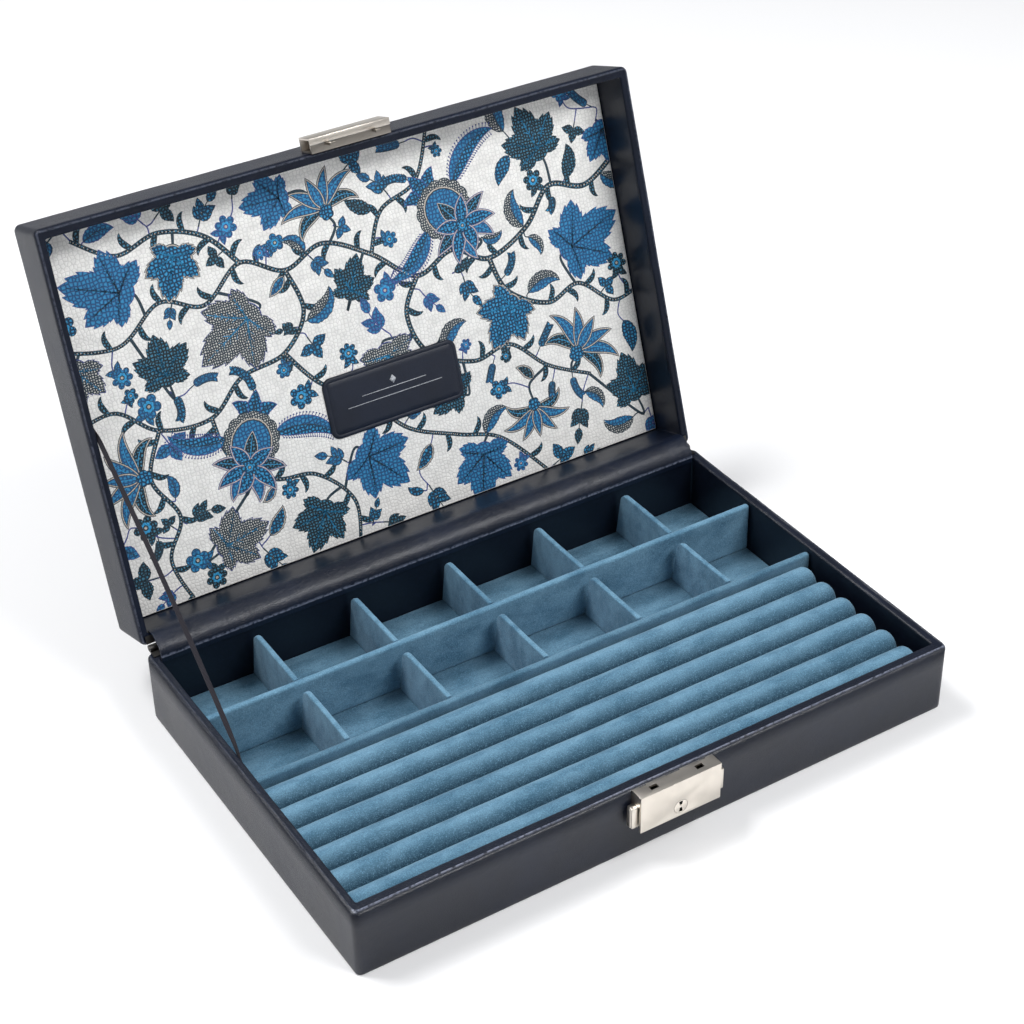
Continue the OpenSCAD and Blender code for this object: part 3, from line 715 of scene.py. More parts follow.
def grown(name, growth, start_mesh=None, **inputs):
    """The plain mesh that a tree makes, with its inputs set by their identifiers."""
    obj = bpy.data.objects.new(name, start_mesh or bpy.data.meshes.new(name))
    bpy.context.scene.collection.objects.link(obj)
    modifier = obj.modifiers.new(name, "NODES")
    modifier.node_group = growth.tree
    for item in growth.tree.interface.items_tree:
        key = item.name.replace(" ", "_")
        if item.in_out == "INPUT" and key in inputs:
            modifier[item.identifier] = inputs[key]
    graph = bpy.context.evaluated_depsgraph_get()
    mesh = bpy.data.meshes.new_from_object(obj.evaluated_get(graph))
    obj.modifiers.clear()
    obj.data = mesh
    mesh.name = name
    return obj


def roll_growth():
    """Padded rods side by side: a grid wrapped to a rod whose ends close in a soft dome."""
    g = Growth("ring rolls", Count=6, Pitch=0.01235, Radius=0.0061, Length=0.245,
               Dome=0.0042, Wobble=0.0002, First=(0.0, 0.0, 0.0))
    around, along = 40, 150
    grid = g.tree.nodes.new("GeometryNodeMeshGrid")
    for key, value in (("Size X", 1.0), ("Size Y", 1.0), ("Vertices X", along),
                       ("Vertices Y", around + 1)):
        grid.inputs[key].default_value = value
    place = g.node("InputPosition")
    split = g.tree.nodes.new("ShaderNodeSeparateXYZ")
    g.tree.links.new(place.socket, split.inputs[0])
    u, v = Value(g, split.outputs[0]) + 0.5, Value(g, split.outputs[1]) + 0.5
    half = g.given("Length") * 0.5
    x = -(half * g.math_node("COSINE", u * math.pi))
    # the left end meets the wall, so its dome is shallower
    dome = g.given("Dome") * (g.math_node("GREATER_THAN", x, 0.0) * 0.7 + 0.3)
    near = g.math_node("MINIMUM", (half - g.math_node("ABSOLUTE", x)) / dome, 1.0)
    near = g.math_node("MAXIMUM", near, 0.0)
    r = g.given("Radius") * (1 - (1 - near) ** 2.3) ** (1 / 2.3)
    a = v * (2 * math.pi)
    wrapped = g.node("ShaderNodeCombineXYZ", {}, {
        0: x, 1: r * g.math_node("COSINE", a), 2: r * g.math_node("SINE", a)})
    rod = g.node("SetPosition", {}, {
        "Geometry": Value(g, grid.outputs[0]), "Position": wrapped})
    rod = g.node("MergeByDistance", {}, {"Geometry": rod, "Distance": 0.000005})
    step = g.node("ShaderNodeCombineXYZ", {}, {1: -g.given("Pitch")})
    line = g.node("MeshLine", {}, {
        "Count": g.given("Count"), "Start Location": g.given("First"), "Offset": step})
    rods = g.node("InstanceOnPoints", {}, {"Points": line, "Instance": rod})
    real = g.node("RealizeInstances", {}, {"Geometry": rods})
    soft = g.node("ShaderNodeTexNoise", {}, {"Scale": 55.0, "Detail": 2.0}, 1)
    push = g.node("ShaderNodeVectorMath", {"operation": "SUBTRACT"}, {
        0: soft, 1: (0.5, 0.5, 0.5)})
    push = g.node("ShaderNodeVectorMath", {"operation": "SCALE"}, {
        0: push, "Scale": g.given("Wobble") * 2.0})
    rods = g.node("SetPosition", {}, {"Geometry": real, "Offset": push})
    g.close(rods, "velvet")
    return g


def row_growth(material):
    """The given piece repeated along a line, each copy a little out of true."""
    g = Growth("row of " + material, Count=5, Step=(0.0436, 0.0, 0.0), Lean=0.0, Seed=3)
    line = g.node("MeshLine", {}, {"Count": g.given("Count"), "Offset": g.given("Step")})
    lean = g.given("Lean")
    low = g.node("ShaderNodeCombineXYZ", {}, {0: -lean, 1: -lean, 2: -lean})
    high = g.node("ShaderNodeCombineXYZ", {}, {0: lean, 1: lean, 2: lean})
    turn = g.node("FunctionNodeRandomValue", {"data_type": "FLOAT_VECTOR"}, {
        0: low, 1: high, "Seed": g.given("Seed")})
    copies = g.node("InstanceOnPoints", {}, {
        "Points": line, "Instance": g.given("Geometry"), "Rotation": turn})
    g.close(copies, material)
    return g


# ---------------------------------------------------------------- leather shells


def shell_counts(s, step=1.5):
    return round(s.width / step), round(s.depth / step)


def inset(s, d):
    return (-s.half_w + d, s.half_w - d, -s.half_d + d, s.half_d - d)


def marked(obj, name, share_of):
    """Stores a value at each point, worked out from its place in millimetres."""
    a = obj.data.attributes.new(name, "FLOAT", "POINT")
    a.data.foreach_set("value", [share_of(v.co / MM) for v in obj.data.vertices])


def rim_rings(s, cavity, z, way, counts):
    """Rings over a rim: outer fold, raised crest, flat band and inner fold. way is 1 upwards."""
    outer, lip = inset(s, 1.7), 0.35
    rows = [(inset(s, 0.0), s.corner, -1.7), (inset(s, 0.05), s.corner, -1.15),
            (inset(s, 0.18), s.corner, -0.68), (inset(s, 0.40), s.corner, -0.30),
            (inset(s, 0.70), s.corner - 0.2, -0.02), (inset(s, 1.0), s.corner - 0.5, s.crest),
            (inset(s, 1.25), s.corner - 0.8, 0.05),
            (inset(s, 1.55), s.corner - 1.0, -0.16), (inset(s, 1.9), s.corner - 1.2, -0.20)]
    for t, drop in ((0.35, -0.16), (0.62, -0.14), (0.8, -0.2), (0.93, -0.42), (1.0, -0.95)):
        rows.append((between(inset(s, 1.9), cavity, t), 1.0, drop))
    rows.append((cavity, 0.9, -2.2))
    return [ring(rect, r, z + way * dz, *counts) for rect, r, dz in rows]


def build_base_shell(s):
    counts = shell_counts(s)
    cavity = (-s.in_x, s.in_x, s.in_front, s.in_back)
    thin = 0.8
    rings = [ring(inset(s, 9), 1.5, 0.0, *counts), ring(inset(s, 1.2), 1.6, 0.0, *counts),
             ring(inset(s, 0.5), 2.0, 0.08, *counts), ring(inset(s, 0.12), 2.4, 0.4, *counts),
             ring(inset(s, 0.0), s.corner, 0.9, *counts)]
    for i in range(1, 14):
        rings.append(ring(inset(s, 0.0), s.corner, 0.9 + (s.base_height - 2.2) * i / 14, *counts))
    rings += rim_rings(s, cavity, s.base_height, 1, counts)
    back = between(cavity, inset(s, 0), 0.3)
    rings += [ring(back, 1.0, s.base_height - 2.2, *counts),
              ring(back, 1.0, s.base_height - 1.2, *counts),
              ring(inset(s, thin), 1.7, s.base_height - 1.2, *counts),
              ring(inset(s, thin), 1.7, 0.6, *counts), ring(inset(s, 9), 1.5, 0.6, *counts)]
    points, faces = loft(rings, closed=True)

    def free(p):
        return 1.0 if p.z > 1.0 else 0.0
    points = uneven(points, 0.10, 0.045, 3.1, free)
    points = uneven(points, 0.05, 0.6, 8.4, lambda p: 1.0 if p.z > s.base_height - 0.6 else 0.0)
    obj = piece("base_cover", points, faces, "navy leather", "base", ["base_leather"])
    top = s.base_height

    # wear and painted highlight on the outer fold of the rim, strongest along the front where the light
    # catches it
    def crest(p):
        d = min(s.half_w - abs(p.x), s.half_d - abs(p.y))
        rubbed_and_lit = 1.0 if s.half_d + p.y < 2.5 else 0.18
        return rubbed_and_lit * max(0.0, 1 - abs(d - 1.0) / 0.5) if p.z > top - 0.5 else 0.0
    marked(obj, "crest", crest)
    return outward(obj)


def build_lid_shell(s):
    counts = shell_counts(s)
    cavity = (-s.in_x, s.in_x, -s.lid_y, s.lid_y)
    top, edge = s.lid_top, s.lid_edge
    rings = [ring(inset(s, 9), 1.5, top, *counts), ring(inset(s, edge + 1), 2.0, top, *counts)]
    for i in range(9):
        a = math.radians(90 * i / 8)
        d = edge * (1 - math.sin(a))
        rings.append(ring(inset(s, edge - edge * math.sin(a)), max(s.corner, 0.5),
                          top - edge + edge * math.cos(a), *counts))
    low = s.lid_z + 1.3
    for i in range(1, 11):
        rings.append(ring(inset(s, 0.0), s.corner, top - edge - (top - edge - low) * i / 11,
                          *counts))
    rings += rim_rings(s, cavity, s.lid_z, -1, counts)
    back = between(cavity, inset(s, 0), 0.3)
    rings += [ring(back, 1.0, s.lid_z + 2.2, *counts), ring(back, 1.0, s.lid_z + 1.2, *counts),
              ring(inset(s, 0.8), 1.7, s.lid_z + 1.2, *counts),
              ring(inset(s, 0.8), 1.7, top - 2.4, *counts),
              ring(inset(s, 2.2), 1.7, top - 0.7, *counts),
              ring(inset(s, 9), 1.5, top - 0.7, *counts)]
    points, faces = loft(rings, closed=True)
    points = uneven(points, 0.12, 0.04, 5.2)
    points = uneven(points, 0.05, 0.6, 2.4, lambda p: 1.0 if p.z < s.lid_z + 0.6 else 0.0)
    obj = piece("lid_cover", points, faces, "lid leather", None, ["lid_leather"])

    # wear and painted highlight on the lid rim's outer fold, weaker than on the base
    def crest(p):
        d = min(s.half_w - abs(p.x), s.half_d - abs(p.y))
        return 0.4 * max(0.0, 1 - abs(d - 1.0) / 0.5) if p.z < s.lid_z + 0.5 else 0.0
    marked(obj, "crest", crest)
    obj.data.transform(opened(s))
    outward(obj)
    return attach(obj, "lid")


def build_linings(s):
    """Smooth inner walls of base and lid."""
    for name, node, rect, z0, z1, body, look, turn in (
            ("base_wall_liner", "base_wall_lining", (-s.in_x, s.in_x, s.in_front, s.in_back),
             3.7, s.base_height - 1.5, "base", "dark lining", None),
            ("lid_wall_liner", "lid_wall_lining", (-s.in_x, s.in_x, -s.lid_y, s.lid_y),
             s.lid_z + 1.5, s.lid_z + s.recess + 0.4, "lid", "lid lining", opened(s))):
        outer = tuple(v + (0.55 if v > 0 else -0.55) for v in rect)
        counts = shell_counts(s, 4)
        inner_rings = [ring(rect, 0.7, z0 + (z1 - z0) * i / 7, *counts) for i in range(8)]
        rings = inner_rings + [ring(outer, 0.7, z1, *counts), ring(outer, 0.7, z0, *counts)]
        points, faces = loft(rings, closed=True)
        points = uneven(points, 0.12, 0.05, 6.6)
        obj = piece(name, points, faces, look, None, [node], turn)
        outward(obj)
        creased(obj, 40)
        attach(obj, body)


def build_top_panel(s):
    """Padded leather panel on the lid: sewn edge, soft crown."""
    counts = shell_counts(s, 2.6)
    z = s.lid_top
    rows = [(3.2, 0.15), (2.5, 0.22), (2.1, 0.5), (2.0, 1.0), (2.0, 2.0), (2.12, 2.5),
            (2.4, 2.86), (2.75, 3.0), (3.0, 2.98), (3.25, 3.06)]
    rows += [(3.25 + 60 * (i / 30) ** 1.5, 3.06) for i in range(1, 31)]
    rings = [ring(inset(s, d), max(1.2, 3.2 - 0.1 * d), z + h, *counts) for d, h in rows]
    points, faces = loft(rings, cap_start=True, cap_end=True)

    def swell(d):
        return 1 - (1 - min(1, max(0, d - 3.25) / 30)) ** 2.4
    points = [(x, y, h + s.crown * swell(s.half_w - abs(x)) * swell(s.half_d - abs(y))
               if h > z + 3.0 else h) for x, y, h in points]
    points = uneven(points, 0.16, 0.03, 9.1, lambda p: 1.0 if p.z > z + 3.1 else 0.15)
    obj = piece("lid_top_panel", points, faces, "panel leather", None, ["lid_panel_leather"],
                opened(s))
    outward(obj)
    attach(obj, "lid")


def build_soft_backing(s):
    """Foam under the top panel and the cloth glued under the base."""
    counts = shell_counts(s, 5.0)
    z, board = s.lid_top, 1.52
    rows = [(12, board), (5.0, board), (4.3, board + 0.08),
            (4.0, board + 0.3), (4.1, 2.0), (4.6, 2.10)]
    rows += [(4.6 + 58 * (i / 12) ** 1.4, 2.10) for i in range(1, 13)]
    rings = [ring(inset(s, d), max(1.0, 3.0 - 0.1 * d), z + h, *counts) for d, h in rows]
    points, faces = loft(rings, cap_start=True, cap_end=True)
    points = [(x, y, h + 0.9 * s.crown * (1 - (1 - min(1, max(0, min(
        s.half_w - abs(x), s.half_d - abs(y)) - 4.6) / 34)) ** 2.2) if h > z + 2.0 else h)
        for x, y, h in points]
    points = uneven(points, 0.10, 0.05, 2.9, lambda p: 1.0 if p.z > z + 2.05 else 0.0)
    foam = piece("panel_padding", points, faces, "foam", None, ["lid_panel_foam"],
                 opened(s))
    outward(foam)
    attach(foam, "lid")
    lo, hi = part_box("base_underside_cover")
    lo, hi = lo / MM, hi / MM
    points, faces = block(lo.x, hi.x, lo.y, hi.y, lo.z, hi.z, 0.18, 4.0)
    points = uneven(points, 0.25, 0.08, 5.2, lambda p: 1.0 if max(
        abs(p.x) / hi.x, abs(p.y) / hi.y) > 0.99 else 0.0)
    points = [(x, y, min(hi.z, max(lo.z, h))) for x, y, h in points]
    cloth = piece("underside_cloth", points, faces, "under cloth", "base",
                  ["base_underside_cover"])
    outward(cloth)


# ---------------------------------------------------------------- velvet fittings


def card_outline(s, y0, y1, z0, z1, lean, r):
    """Side outline of a cross divider, evenly divided, with a soft leaning back corner."""
    ye = y1 - lean
    raw = [(y0, z0), (y1, z0)]
    raw += [(ye - r + r * math.cos(math.radians(a)), z1 - r + r * math.sin(math.radians(a)))
            for a in range(8, 91, 8)]
    raw += [(y0, z1)]
    out = []
    for a, b in zip(raw, raw[1:] + raw[:1]):
        n = max(1, round(math.dist(a, b) / 1.4))
        out += [(a[0] + (b[0] - a[0]) * i / n, a[1] + (b[1] - a[1]) * i / n) for i in range(n)]
    return out


def drawn_in(outline, d):
    """The outline moved in by d along its normals."""
    out = []
    n = len(outline)
    for i in range(n):
        a, b = outline[i - 1], outline[(i + 1) % n]
        t = Vector((b[0] - a[0], b[1] - a[1])).normalized()
        out.append((outline[i][0] - t.y * d, outline[i][1] + t.x * d))
    return out


def build_fittings(s):
    """Floor, rails and dividers in velvet."""
    def node_box(node):
        lo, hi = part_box(node)
        return lo / MM, hi / MM
    lo, hi = node_box("floor_pad")
    points, faces = block(lo.x, hi.x, lo.y, hi.y, lo.z, hi.z, 0.6, 2.5)
    points = uneven(points, 0.10, 0.11, 1.3, lambda p: 1.0 if p.z > lo.z + 1 else 0.0)
    piece("velvet_floor", points, faces, "floor velvet", "base", ["floor_pad"])
    for name, seed in (("mid_divider", 4.1), ("front_rail", 7.7)):
        lo, hi = node_box(name)
        points, faces = block(lo.x, hi.x, lo.y, hi.y, lo.z, hi.z, 1.25, 1.6)
        points = uneven(points, 0.22, 0.035, seed, lambda p: min(1.0, max(0, p.z - 6) / 12))
        points = uneven(points, 0.07, 0.25, seed)
        # painted light and shade: the mid divider takes the lighter velvet copy, the front rail the
        # darker one
        look = "divider velvet" if name == "mid_divider" else "floor velvet"
        piece("velvet_" + name, points, faces, look, "base", [name])
    for row in ("back", "front"):
        first, last = node_box(row + "_divider_1"), node_box(row + "_divider_5")
        lo, hi = first
        pitch = (last[0].x - lo.x) / 4
        outline = card_outline(s, lo.y, hi.y, lo.z, hi.z + 0.1, 2.6, 4.6)
        half, e = (hi.x - lo.x) / 2, 0.8
        steps = [(-half, e), (-half + 0.08 * e, 0.55 * e), (-half + 0.35 * e, 0.2 * e),
                 (-half + e, 0.0)]
        steps += [(-x, d) for x, d in reversed(steps)]
        rings = [[(x, y, z) for y, z in drawn_in(outline, d)] for x, d in steps]
        points, faces = loft(rings, cap_start=True, cap_end=True)
        mesh = bpy.data.meshes.new(row)
        mesh.from_pydata([Vector(p) * MM for p in points], [], faces)
        card_growth = row_growth("divider velvet")
        obj = grown("cross_dividers_" + row, card_growth, mesh, Count=5,
                    Step=(pitch * MM, 0.0, 0.0), Lean=0.0, Seed=3)
        centre = (lo.x + hi.x) / 2
        rng = random.Random(11 if row == "back" else 23)
        tilt = [(rng.uniform(-0.012, 0.012), rng.uniform(-0.35, 0.35), rng.uniform(-0.3, 0.3))
                for _ in range(5)]
        for v in obj.data.vertices:
            k = min(4, max(0, round(v.co.x / MM / pitch)))
            lift, bend, slide = tilt[k]
            up = (v.co.z / MM - lo.z) / (hi.z - lo.z)
            y = (v.co.y / MM - lo.y) / (hi.y - lo.y)
            v.co.x += (centre + bend * up * math.sin(y * 3.0) + slide * up * y) * MM
            v.co.z += lift * y * up * 20 * MM
        creased(outward(obj), 60)
        tied(obj, "base", ["%s_divider_%d" % (row, k) for k in range(1, 6)])
    lo, hi = node_box("ring_roll_1")
    last, _ = node_box("ring_roll_6")
    growth = roll_growth()
    radius = (hi.z - lo.z) / 2
    pitch = (lo.y - last.y) / 5
    left = 0.45
    rolls = grown("ring_rolls", growth, None, Count=6, Pitch=pitch * MM,
                  Radius=(radius + 0.04) * MM, Length=(hi.x - lo.x + left) * MM, Dome=0.0042,
                  Wobble=s.roll_wobble * MM,
                  First=((lo.x + hi.x - left) / 2 * MM, (lo.y + radius) * MM,
                         (lo.z + radius) * MM))

    # painted shade for each roll: darker over its front half and along its back edge, light on its
    # upper back
    def laid(p):
        k = min(5, max(0, round((lo.y + radius - p.y) / pitch)))
        back = (p.y - (lo.y + radius - k * pitch)) / radius
        front = min(1.0, max(0.0, (-back - 0.02) / 0.88))
        return min(1.0, front ** 1.3 * 0.95 + min(1.0, max(0.0, (back - 0.55) / 0.4)) ** 2 * 0.6)
    marked(rolls, "laid", laid)
    tied(outward(rolls), "base", ["ring_roll_%d" % k for k in range(1, 7)])


# ---------------------------------------------------------------- printed lining


class Print:
    """Collects printed shapes on the lid panel, in millimetres across and up the panel."""

    inks = ["line slate", "line violet", "line bright", "line beige", "print blue",
            "print pale blue", "print slate", "print mottled"]

    def __init__(self, half_w, half_h, seed):
        self.half_w, self.half_h = half_w, half_h
        self.rng = random.Random(seed)
        self.shapes = {"stems": [], "blooms": [], "sprays": []}
        self.dots, self.taken, self.anchors = [], [], []
        self.group, self.level = "stems", 0

    def begin(self, group, level):
        self.group, self.level = group, level + self.rng.randint(0, 5)

    def add(self, outline, ink, up=1):
        self.level += up
        self.shapes[self.group].append((outline, None, self.inks.index(ink), self.level))

    def free(self, x, y, r, gap=0.0):
        return all(math.hypot(x - a, y - b) > r + c + gap for a, b, c in self.taken)

    def take(self, x, y, r):
        self.taken.append((x, y, r))

    def spot(self, x, y, r, ink, up=1):
        n = max(7, min(20, round(r * 9)))
        self.add([(x + r * math.cos(2 * math.pi * i / n), y + r * math.sin(2 * math.pi * i / n))
                  for i in range(n)], ink, up)

    def stroke(self, path, w0, w1, ink, up=1):
        """A line with width, from w0 to w1."""
        left, right = [], []
        n = len(path)
        for i, (x, y) in enumerate(path):
            a, b = path[max(0, i - 1)], path[min(n - 1, i + 1)]
            t = Vector((b[0] - a[0], b[1] - a[1]))
            t = t.normalized() if t.length else Vector((1, 0))
            w = (w0 + (w1 - w0) * i / (n - 1)) / 2
            left.append((x - t.y * w, y + t.x * w))
            right.append((x + t.y * w, y - t.x * w))
        self.level += up
        self.shapes[self.group].append((left, right, self.inks.index(ink), self.level))

    def curl(self, x, y, angle, length, bend, n=16):
        """Path that starts at x, y and turns more and more, and its last direction."""
        out = [(x, y)]
        for i in range(n):
            angle += bend * (0.4 + 1.2 * i / n) / n
            x += math.cos(angle) * length / n
            y += math.sin(angle) * length / n
            out.append((x, y))
        return out, angle

    def leaf(self, x, y, angle, length, width, fill, edge, bend=0.0, teeth=7, band=None,
             vein="line slate", side_veins=True, bite=0.10, half=None, line=0.30):
        """Toothed leaf along a bent midrib: edge line, optional pale band, fill and veins."""
        steps = 24 if length > 4 else 12
        rib, _ = self.curl(x, y, angle, length, bend, steps)

        def side(grow, k, tooth):
            out = []
            for i in range(1, steps):
                t = i / steps
                a, b = rib[i - 1], rib[i + 1]
                d = Vector((b[0] - a[0], b[1] - a[1])).normalized()
                w = width / 2 * math.sin(math.pi * t ** 0.8) ** 0.85
                if tooth:
                    w *= 1 + tooth * (1.6 * ((t * teeth) % 1.0) - 0.5)
                w = max(0.05, w + grow)
                out.append((rib[i][0] - k * d.y * w, rib[i][1] + k * d.x * w))
            return out

        def shape(grow, tooth):
            end = Vector((rib[-1][0] - rib[-2][0], rib[-1][1] - rib[-2][1])).normalized()
            tip = (rib[-1][0] + end.x * grow * 1.6, rib[-1][1] + end.y * grow * 1.6)
            foot = (rib[0][0] - math.cos(angle) * grow, rib[0][1] - math.sin(angle) * grow)
            return [foot] + side(grow, 1, tooth) + [tip] + side(grow, -1, tooth)[::-1]

        tooth = bite if teeth else 0
        self.add(shape(line, tooth), edge)
        if band:
            self.add(shape(0.0, tooth), band)
            self.add(shape(-0.42, tooth), edge)
            self.add(shape(-0.66, tooth), fill)
        else:
            self.add(shape(-0.04, tooth), fill)
        if half:
            grow = -0.66 if band else -0.04
            self.add([rib[0]] + side(grow, 1, tooth) + rib[:0:-1], half)
        if vein:
            self.stroke(rib[:-3], 0.42, 0.18, vein)
            if side_veins and length > 6:
                for i in range(4, 19, 2 if length > 12 else 3):
                    a, b = rib[i - 1], rib[i + 1]
                    d = math.atan2(b[1] - a[1], b[0] - a[0])
                    reach = width * 0.36 * math.sin(math.pi * (i / 24) ** 0.8)
                    for k in (1, -1):
                        e = d + k * 0.8
                        self.stroke([rib[i], (rib[i][0] + math.cos(e) * reach,
                                              rib[i][1] + math.sin(e) * reach)],
                                    0.26, 0.12, vein, 0)
                self.level += 1

    def lobed_leaf(self, x, y, angle, size, fill, edge, band=None, vein="line slate"):
        """Vine leaf: five to seven toothed lobes round one foot, veined to every tip."""
        lobes = [(0.0, 1.0, 0.74), (0.92, 0.82, 0.74), (-0.92, 0.82, 0.74), (1.86, 0.58, 0.76),
                 (-1.86, 0.58, 0.76)]
        lobes = [(d + self.rng.uniform(-0.07, 0.07), r * self.rng.uniform(0.93, 1.07), w)
                 for d, r, w in lobes]

        def shape(grow):
            out = []
            for i in range(240):
                t = -math.pi + 2 * math.pi * (i + 0.5) / 240
                r = 0.24 * size
                for d, reach, wide in lobes:
                    k = abs(t - d) / wide
                    if k < 1:
                        tooth = 0.10 * ((k * 4.2 + 0.15) % 1.0)
                        r = max(r, reach * size * ((1 - k) ** 0.42 - tooth * (1 - 0.5 * k)))
                r = max(0.3, r + grow)
                out.append((x + math.cos(angle + t) * r, y + math.sin(angle + t) * r))
            return out

        self.add(shape(0.34), edge)
        if band:
            self.add(shape(0.0), band)
            self.add(shape(-0.45), edge)
            self.add(shape(-0.72), fill)
        else:
            self.add(shape(-0.05), fill)
        for d, reach, _ in lobes:
            path, _ = self.curl(x, y, angle + d * 0.9, size * reach * 0.86, d * 0.14, 12)
            self.stroke(path, 0.85, 0.30, vein, 0)
            for i in (3, 5, 7, 9):
                a, b = path[i - 1], path[min(12, i + 1)]
                e = math.atan2(b[1] - a[1], b[0] - a[0])
                for k in (1, -1):
                    span = size * reach * 0.17 * (1.15 - i / 12)
                    self.stroke([path[i], (path[i][0] + math.cos(e + k * 0.75) * span,
                                           path[i][1] + math.sin(e + k * 0.75) * span)],
                                0.42, 0.18, vein, 0)
        self.level += 1

    def scallop(self, x, y, r, n, deep, ink, turn=0.0, squash=1.0):
        """Round shape with n soft lobes."""
        out = []
        for i in range(n * 10):
            t = 2 * math.pi * i / (n * 10)
            q = r * (1 - deep + deep * abs(math.cos(n * t / 2)) ** 0.7)
            u, v = q * math.cos(t) * squash, q * math.sin(t)
            out.append((x + u * math.cos(turn) - v * math.sin(turn),
                        y + u * math.sin(turn) + v * math.cos(turn)))
        self.add(out, ink)

    def flower(self, x, y, size, fill, edge, petals=5, turn=0.0):
        """Round-petalled flower in two rings with a ringed heart."""
        self.scallop(x, y, size * 1.03, petals, 0.36, edge, turn)
        self.scallop(x, y, size - 0.24, petals, 0.34, fill, turn)
        for k in range(petals):
            a = turn + 2 * math.pi * k / petals
            for b in (-0.2, 0.2):
                self.stroke([(x + math.cos(a + b) * size * 0.4, y + math.sin(a + b) * size * 0.4),
                             (x + math.cos(a + b * 0.8) * size * 0.8,
                              y + math.sin(a + b * 0.8) * size * 0.8)], 0.26, 0.12, edge, 0)
        self.scallop(x, y, size * 0.52, petals + 1, 0.24, edge, turn + 0.5)
        self.scallop(x, y, size * 0.52 - 0.24, petals + 1, 0.22, "line bright", turn + 0.5)
        self.spot(x, y, size * 0.24, edge)
        self.spot(x, y, size * 0.13, "line beige")

    def plume(self, x, y, angle, length, width, bend):
        """Feathery tail with a fringe of stalked dots."""
        rib, _ = self.curl(x, y, angle, length, bend, 24)
        for k in (1, -1):
            for i in range(2, 24):
                a, b = rib[i - 1], rib[i + 1]
                d = Vector((b[0] - a[0], b[1] - a[1])).normalized()
                w = width / 2 * math.sin(math.pi * (i / 25) ** 0.8) ** 0.8
                foot = Vector((rib[i][0] - k * d.y * w, rib[i][1] + k * d.x * w))
                out = foot + Vector((-k * d.y, k * d.x)) * 1.35 + d * 0.5
                self.stroke([tuple(foot), tuple(out)], 0.30, 0.22, "line violet", 0)
                self.dots.append((out.x, out.y, 0.34, "line violet"))
        self.leaf(x, y, angle, length, width, "print pale blue", "line violet", bend, teeth=0,
                  vein="line slate", half="print blue")

    def seed_pod(self, x, y, angle, size):
        """Large round bloom: speckled rind, seeded heart, small crown and pointed petals."""
        c, d = math.cos(angle), math.sin(angle)
        for spread in (-0.75, 0.75, 0.0):
            self.leaf(x + c * size * 0.30, y + d * size * 0.30, angle + spread, size * 0.36,
                      size * 0.17, "print blue", "line violet", teeth=3, vein="line slate",
                      bend=spread * 0.9)
        self.scallop(x, y, size * 0.40, 14, 0.07, "line slate", angle)
        self.scallop(x, y, size * 0.40 - 0.35, 14, 0.07, "print mottled", angle)
        self.scallop(x - c * size * 0.03, y - d * size * 0.03, size * 0.29, 2, 0.0,
                     "line beige", angle, 1.15)
        self.scallop(x - c * size * 0.03, y - d * size * 0.03, size * 0.275, 2, 0.0,
                     "line slate", angle, 1.15)
        self.scallop(x - c * size * 0.03, y - d * size * 0.03, size * 0.26, 2, 0.0,
                     "print pale blue", angle, 1.15)
        self.leaf(x - c * size * 0.28, y - d * size * 0.28, angle, size * 0.40, size * 0.17,
                  "print slate", "line beige", teeth=0, vein="line bright", side_veins=False)
        fx, fy = x - c * size * 0.34, y - d * size * 0.34
        for spread, k, ink in ((1.35, 0.52, "print slate"), (-1.35, 0.52, "print slate"),
                               (2.45, 0.50, "print pale blue"), (-2.45, 0.50, "print pale blue"),
                               (0.75, 0.40, "print blue"), (-0.75, 0.40, "print blue"),
                               (1.95, 0.50, "print blue"), (-1.95, 0.50, "print blue"),
                               (3.14, 0.40, "print blue")):
            self.leaf(fx, fy, angle + spread, size * k, size * 0.19, ink, "line violet",
                      bend=spread * 0.30, teeth=0, band="line beige", vein="line bright",
                      side_veins=False, line=0.24)
        self.flower(fx, fy, size * 0.11, "print blue", "line slate", 6)

    def lily(self, x, y, angle, size):
        """Fan of long curled petals with beige borders."""
        for spread, k in ((1.30, 0.86), (-1.30, 0.86), (0.86, 1.0), (-0.86, 1.0), (0.42, 0.84),
                          (-0.42, 0.84), (0.0, 0.72)):
            self.leaf(x, y, angle + spread, size * k, size * 0.25,
                      "print slate" if abs(spread) > 1 else "print pale blue", "line slate",
                      bend=spread * 1.15, teeth=0, band="line beige", vein="line bright",
                      side_veins=False)
        self.scallop(x - math.cos(angle) * size * 0.08, y - math.sin(angle) * size * 0.08,
                     size * 0.17, 5, 0.2, "line slate", angle)
        self.scallop(x - math.cos(angle) * size * 0.08, y - math.sin(angle) * size * 0.08,
                     size * 0.17 - 0.3, 5, 0.2, "print blue", angle)

    def sprig(self, x, y, angle, length, bend, ink, edge, leaves=2):
        """Thin twig with paired leaves and an end leaf."""
        path, end = self.curl(x, y, angle, length, bend, 14)
        self.stroke(path, 0.62, 0.4, edge)
        for i in range(leaves):
            k = 4 + round(7 * i / max(1, leaves))
            a, b = path[k - 1], path[k + 1]
            d = math.atan2(b[1] - a[1], b[0] - a[0])
            for side in (1, -1):
                self.leaf(*path[k], d + side * 0.9, length * 0.52, length * 0.27, ink, edge,
                          bend=-side * 0.3, teeth=4, vein=edge)
        self.leaf(*path[-1], end, length * 0.58, length * 0.30, ink, edge, teeth=4, vein=edge)

    def ear(self, x, y, angle, length, bend, ink="print blue"):
        """Ear of small grains along a bent stalk."""
        path, _ = self.curl(x, y, angle, length, bend, 18)
        self.stroke(path, 0.5, 0.3, "line slate")
        for i in range(4, 18):
            a, b = path[i - 1], path[min(18, i + 1)]
            d = math.atan2(b[1] - a[1], b[0] - a[0])
            for k in (1, -1):
                self.leaf(*path[i], d + k * 0.8, 2.3, 1.15, ink, "line slate", teeth=0, vein=None,
                          line=0.2)

